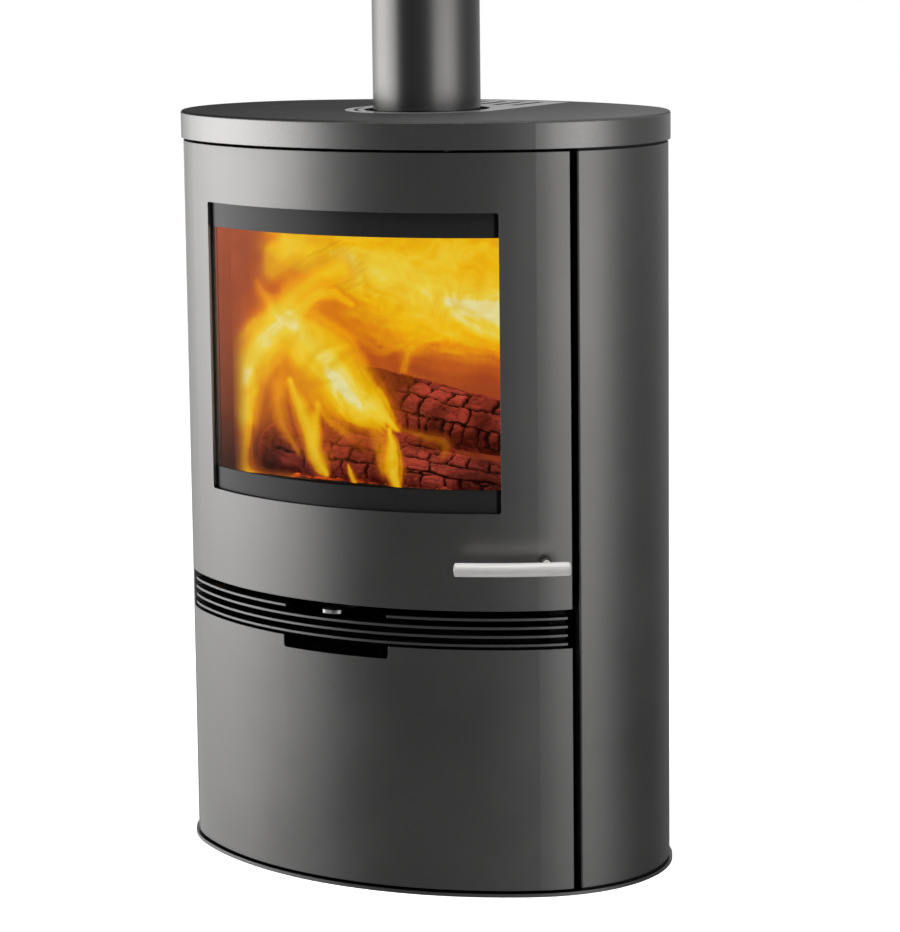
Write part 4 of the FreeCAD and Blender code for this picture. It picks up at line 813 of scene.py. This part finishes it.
# The door's rope seal, in metres: half the inner frame's width, the depth of its rear face, how far in from
# the seal's edges and behind that face the rope's middle line runs, the rope's radius, its bend at corners.
FRAME_HALF = 0.272
FRAME_REAR = 0.012
ROPE_INSET = 0.0045
ROPE_BEHIND = 0.00485
ROPE_RADIUS = 0.00455
ROPE_BEND = 0.010
ROPE_RUN_STEPS = 150
ROPE_BEND_STEPS = 8
ROPE_AROUND = 20
# The braid: strands each way, their turn in radians for each metre of rope, and the valleys' share of the
# radius.
BRAID_STRANDS = 3
BRAID_TWIST = 520
BRAID_VALLEY_SHARE = 0.86


def seal_route():
    """The rope's middle line round the door's frame: its points, each with the casing's outward direction."""
    low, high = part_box("door_seal")
    depth = FRAME_REAR + ROPE_BEHIND
    bend_turn = ROPE_BEND/(FRONT_R - depth)
    across = oval_turn(FRAME_HALF) - math.asin(ROPE_INSET/FRONT_R) - bend_turn
    bottom, top = low[2] + ROPE_INSET + ROPE_BEND, high[2] - ROPE_INSET - ROPE_BEND
    corners = [(across, bottom), (across, top), (-across, top), (-across, bottom)]
    route = []

    def add(turn, z, angle):
        turn += bend_turn*math.sin(angle)
        outward = Vector((math.sin(turn), -math.cos(turn), 0))
        route.append((Vector((*oval(turn, depth), z - ROPE_BEND*math.cos(angle))), outward))

    for number, (turn, z) in enumerate(corners):
        from_turn, from_z = corners[number - 1]
        angle = number*math.pi/2
        for share in (step/ROPE_RUN_STEPS for step in range(ROPE_RUN_STEPS)):
            add(between(from_turn, turn, share), between(from_z, z, share), angle)
        for share in (step/ROPE_BEND_STEPS for step in range(ROPE_BEND_STEPS)):
            add(turn, z, angle + share*math.pi/2)
    return route


def rope_seal(material):
    """The door's rope seal as a braided rope that runs round the inner frame."""
    route = seal_route()
    count = len(route)
    travel, rings = 0.0, []
    for number, (centre, outward) in enumerate(route):
        ahead, behind = route[(number + 1) % count][0], route[number - 1][0]
        sideways = (ahead - behind).normalized().cross(outward).normalized()
        travel += (centre - behind).length if number else 0.0
        rings.append((centre, outward, sideways, travel))
    mesh = sheet(count, ROPE_AROUND)
    for vert in mesh.verts:
        centre, outward, sideways, travel = rings[round(vert.co.x*count) % count]
        angle = 2*math.pi*(round(vert.co.y*ROPE_AROUND) % ROPE_AROUND)/ROPE_AROUND
        strand, twist = BRAID_STRANDS*angle, BRAID_TWIST*travel
        weave = abs(math.sin(strand + twist))*abs(math.sin(strand - twist))
        reach = ROPE_RADIUS*between(BRAID_VALLEY_SHARE, 1.0, math.sqrt(weave))
        vert.co = centre + (outward*math.cos(angle) + sideways*math.sin(angle))*reach
    close_seams(mesh)
    piece = new_piece("braided_seal", mesh, material, "door")
    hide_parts("door_seal")


# Camera: lens and sensor in millimetres, the picture's height and shift in pixels, its place and the farthest
# that it sees in metres, and its turn, downward tilt and roll in degrees.
LENS = 128.925
SENSOR = 36.0
PICTURE_HEIGHT = 932
SHIFT_X = 70.0
SHIFT_Y = -35.0
CAMERA_PLACE = (2.4086, -3.9799, 1.31305)
FARTHEST_SEEN = 60.0
CAMERA_TURN = 31.9647
CAMERA_TILT = 8.7568
CAMERA_ROLL = 0.8464


def main_camera():
    """The camera of the main view."""
    data = bpy.data.cameras.new("camera")
    data.sensor_width = SENSOR
    data.lens = LENS
    data.shift_x = SHIFT_X/PICTURE_HEIGHT
    data.shift_y = SHIFT_Y/PICTURE_HEIGHT
    data.clip_end = FARTHEST_SEEN
    camera = bpy.data.objects.new("camera", data)
    turned = Matrix.Rotation(math.radians(CAMERA_TURN), 4, "Z")
    tilted = Matrix.Rotation(math.radians(90 - CAMERA_TILT), 4, "X")
    rolled = Matrix.Rotation(-math.radians(CAMERA_ROLL), 4, "Z")
    camera.matrix_world = Matrix.Translation(CAMERA_PLACE) @ turned @ tilted @ rolled
    bpy.context.scene.collection.objects.link(camera)
    bpy.context.scene.camera = camera


# White floor: half its width, and its own light from near the stove, where it keeps a shadow, to farther off.
FLOOR_HALF = 14.0
FLOOR_NEAR = 0.45
FLOOR_FAR = 1.3
FLOOR_NEAR_LIGHT = 0.72


def white_floor():
    """A white floor with a soft shadow near the stove, clear to mirror rays."""
    mesh = bmesh.new()
    bmesh.ops.create_grid(mesh, x_segments=8, y_segments=8, size=FLOOR_HALF)
    data = bpy.data.meshes.new("floor")
    mesh.to_mesh(data)
    mesh.free()
    floor = bpy.data.objects.new("floor", data)
    bpy.context.scene.collection.objects.link(floor)
    g = Finish("floor_white")
    matt = g.node("ShaderNodeBsdfDiffuse", Color=(0.9, 0.9, 0.9, 1.0)).outputs[0]
    away = g.node("ShaderNodeVectorMath", i0=g.place)
    away.operation = "LENGTH"
    bright = g.span(away.outputs["Value"], FLOOR_NEAR, FLOOR_FAR, FLOOR_NEAR_LIGHT, 1.0)
    lift = g.node("ShaderNodeEmission", Color=(1.0, 1.0, 1.0, 1.0), Strength=bright).outputs[0]
    lit = g.node("ShaderNodeAddShader", i0=matt, i1=lift).outputs[0]
    shown = g.layered(g.looked_at(), matt, lit)
    clear = g.node("ShaderNodeBsdfTransparent").outputs[0]
    mirrored = g.node("ShaderNodeLightPath").outputs["Is Glossy Ray"]
    data.materials.append(g.surface(g.layered(mirrored, shown, clear)))


# Brightness of the studio by the turn from the front in degrees: level with the stove's top, lower down near
# the floor, and just above the stove.
LEVEL_WITH_TOP = [(-180, 0.11), (-165, 0.12), (-127, 0.17), (-108, 0.38), (-88, 0.86), (-68, 1.0),
                  (-50, 0.74), (-40, 0.56), (-30, 0.13), (-18, 0.037), (4, 0.030), (25, 0.045), (40, 0.11),
                  (52, 0.40), (76, 0.58), (92, 0.42), (106, 0.165), (125, 0.068), (155, 0.07), (180, 0.11)]
NEAR_FLOOR = [(-180, 0.05), (-165, 0.05), (-127, 0.215), (-103, 0.21), (-83, 0.15), (-62, 0.062),
              (-45, 0.032), (-29, 0.025), (0, 0.032), (25, 0.033), (45, 0.036), (76, 0.047), (92, 0.035),
              (116, 0.026), (135, 0.025), (155, 0.026), (180, 0.05)]
ABOVE_STOVE = [(-180, 0.15), (-165, 0.15), (-130, 0.15), (-118, 0.06), (-100, 0.024), (-20, 0.022),
               (20, 0.022), (100, 0.024), (130, 0.06), (160, 0.15), (180, 0.15)]
OVERHEAD = (0.022, 0.022, 0.022)
UNDERFOOT = (0.075, 0.075, 0.075)
# Between which rises of a ray one of these gives way to the next.
FLOOR_TO_TOP = (-0.276, -0.07)
TOP_TO_ABOVE = (0.01, 0.09)
ABOVE_TO_OVERHEAD = (0.24, 0.42)
FLOOR_TO_UNDERFOOT = (-0.36, -0.60)
STUDIO_STRENGTH = 3.4


def dark_studio():
    """A bright soft box on the left, a weaker one on the right, a dark front. Camera and glass see white."""
    world = bpy.data.worlds.new("studio")
    bpy.context.scene.world = world
    world.use_nodes = True
    g = NodeTree(world.node_tree)
    ray = g.node("ShaderNodeSeparateXYZ", Vector=g.node("ShaderNodeTexCoord").outputs["Generated"]).outputs
    turn = g.math("ARCTAN2", ray["X"], g.math("MULTIPLY", ray["Y"], -1.0))
    round_share = g.span(turn, -math.pi, math.pi, 0.0, 1.0)

    def ring(levels):
        stops = [((degrees + 180)/360, (level, level, level)) for degrees, level in levels]
        return g.ramp(round_share, stops)

    def rise(low, high):
        return g.span(ray["Z"], low, high, 0.0, 1.0)

    level = g.mix(g.math("POWER", rise(*FLOOR_TO_TOP), 1.5), ring(NEAR_FLOOR), ring(LEVEL_WITH_TOP))
    level = g.mix(rise(*TOP_TO_ABOVE), level, ring(ABOVE_STOVE))
    level = g.mix(rise(*ABOVE_TO_OVERHEAD), level, OVERHEAD)
    level = g.mix(rise(*FLOOR_TO_UNDERFOOT), level, UNDERFOOT)
    studio = g.node("ShaderNodeBackground", Color=level, Strength=STUDIO_STRENGTH).outputs[0]
    white = g.node("ShaderNodeBackground", Color=(1.0, 1.0, 1.0, 1.0), Strength=1.0).outputs[0]
    g.node("ShaderNodeOutputWorld", Surface=g.layered(g.looked_at(), studio, white))


# The soft box over the stove: its place and what it points at, its width in metres and its power in watts.
LAMP_PLACE = (0.3, -0.6, 3.6)
LAMP_TARGET = (0.0, 0.0, 0.6)
LAMP_WIDTH = 2.4
LAMP_POWER = 160.0


def over_light():
    """A square soft box over the stove, which the metal doesn't mirror."""
    data = bpy.data.lights.new("over_light", "AREA")
    data.shape = "RECTANGLE"
    data.size = LAMP_WIDTH
    data.size_y = LAMP_WIDTH
    data.energy = LAMP_POWER
    lamp = bpy.data.objects.new("over_light", data)
    direction = Vector(LAMP_TARGET) - Vector(LAMP_PLACE)
    pointed = direction.to_track_quat("-Z", "Y").to_matrix().to_4x4()
    lamp.matrix_world = Matrix.Translation(LAMP_PLACE) @ pointed
    lamp.visible_glossy = False
    bpy.context.scene.collection.objects.link(lamp)


finish_nodes()
fire()
rope_seal(rope("braided_rope"))
main_camera()
white_floor()
dark_studio()
over_light()
bpy.context.scene.view_settings.view_transform = "Standard"
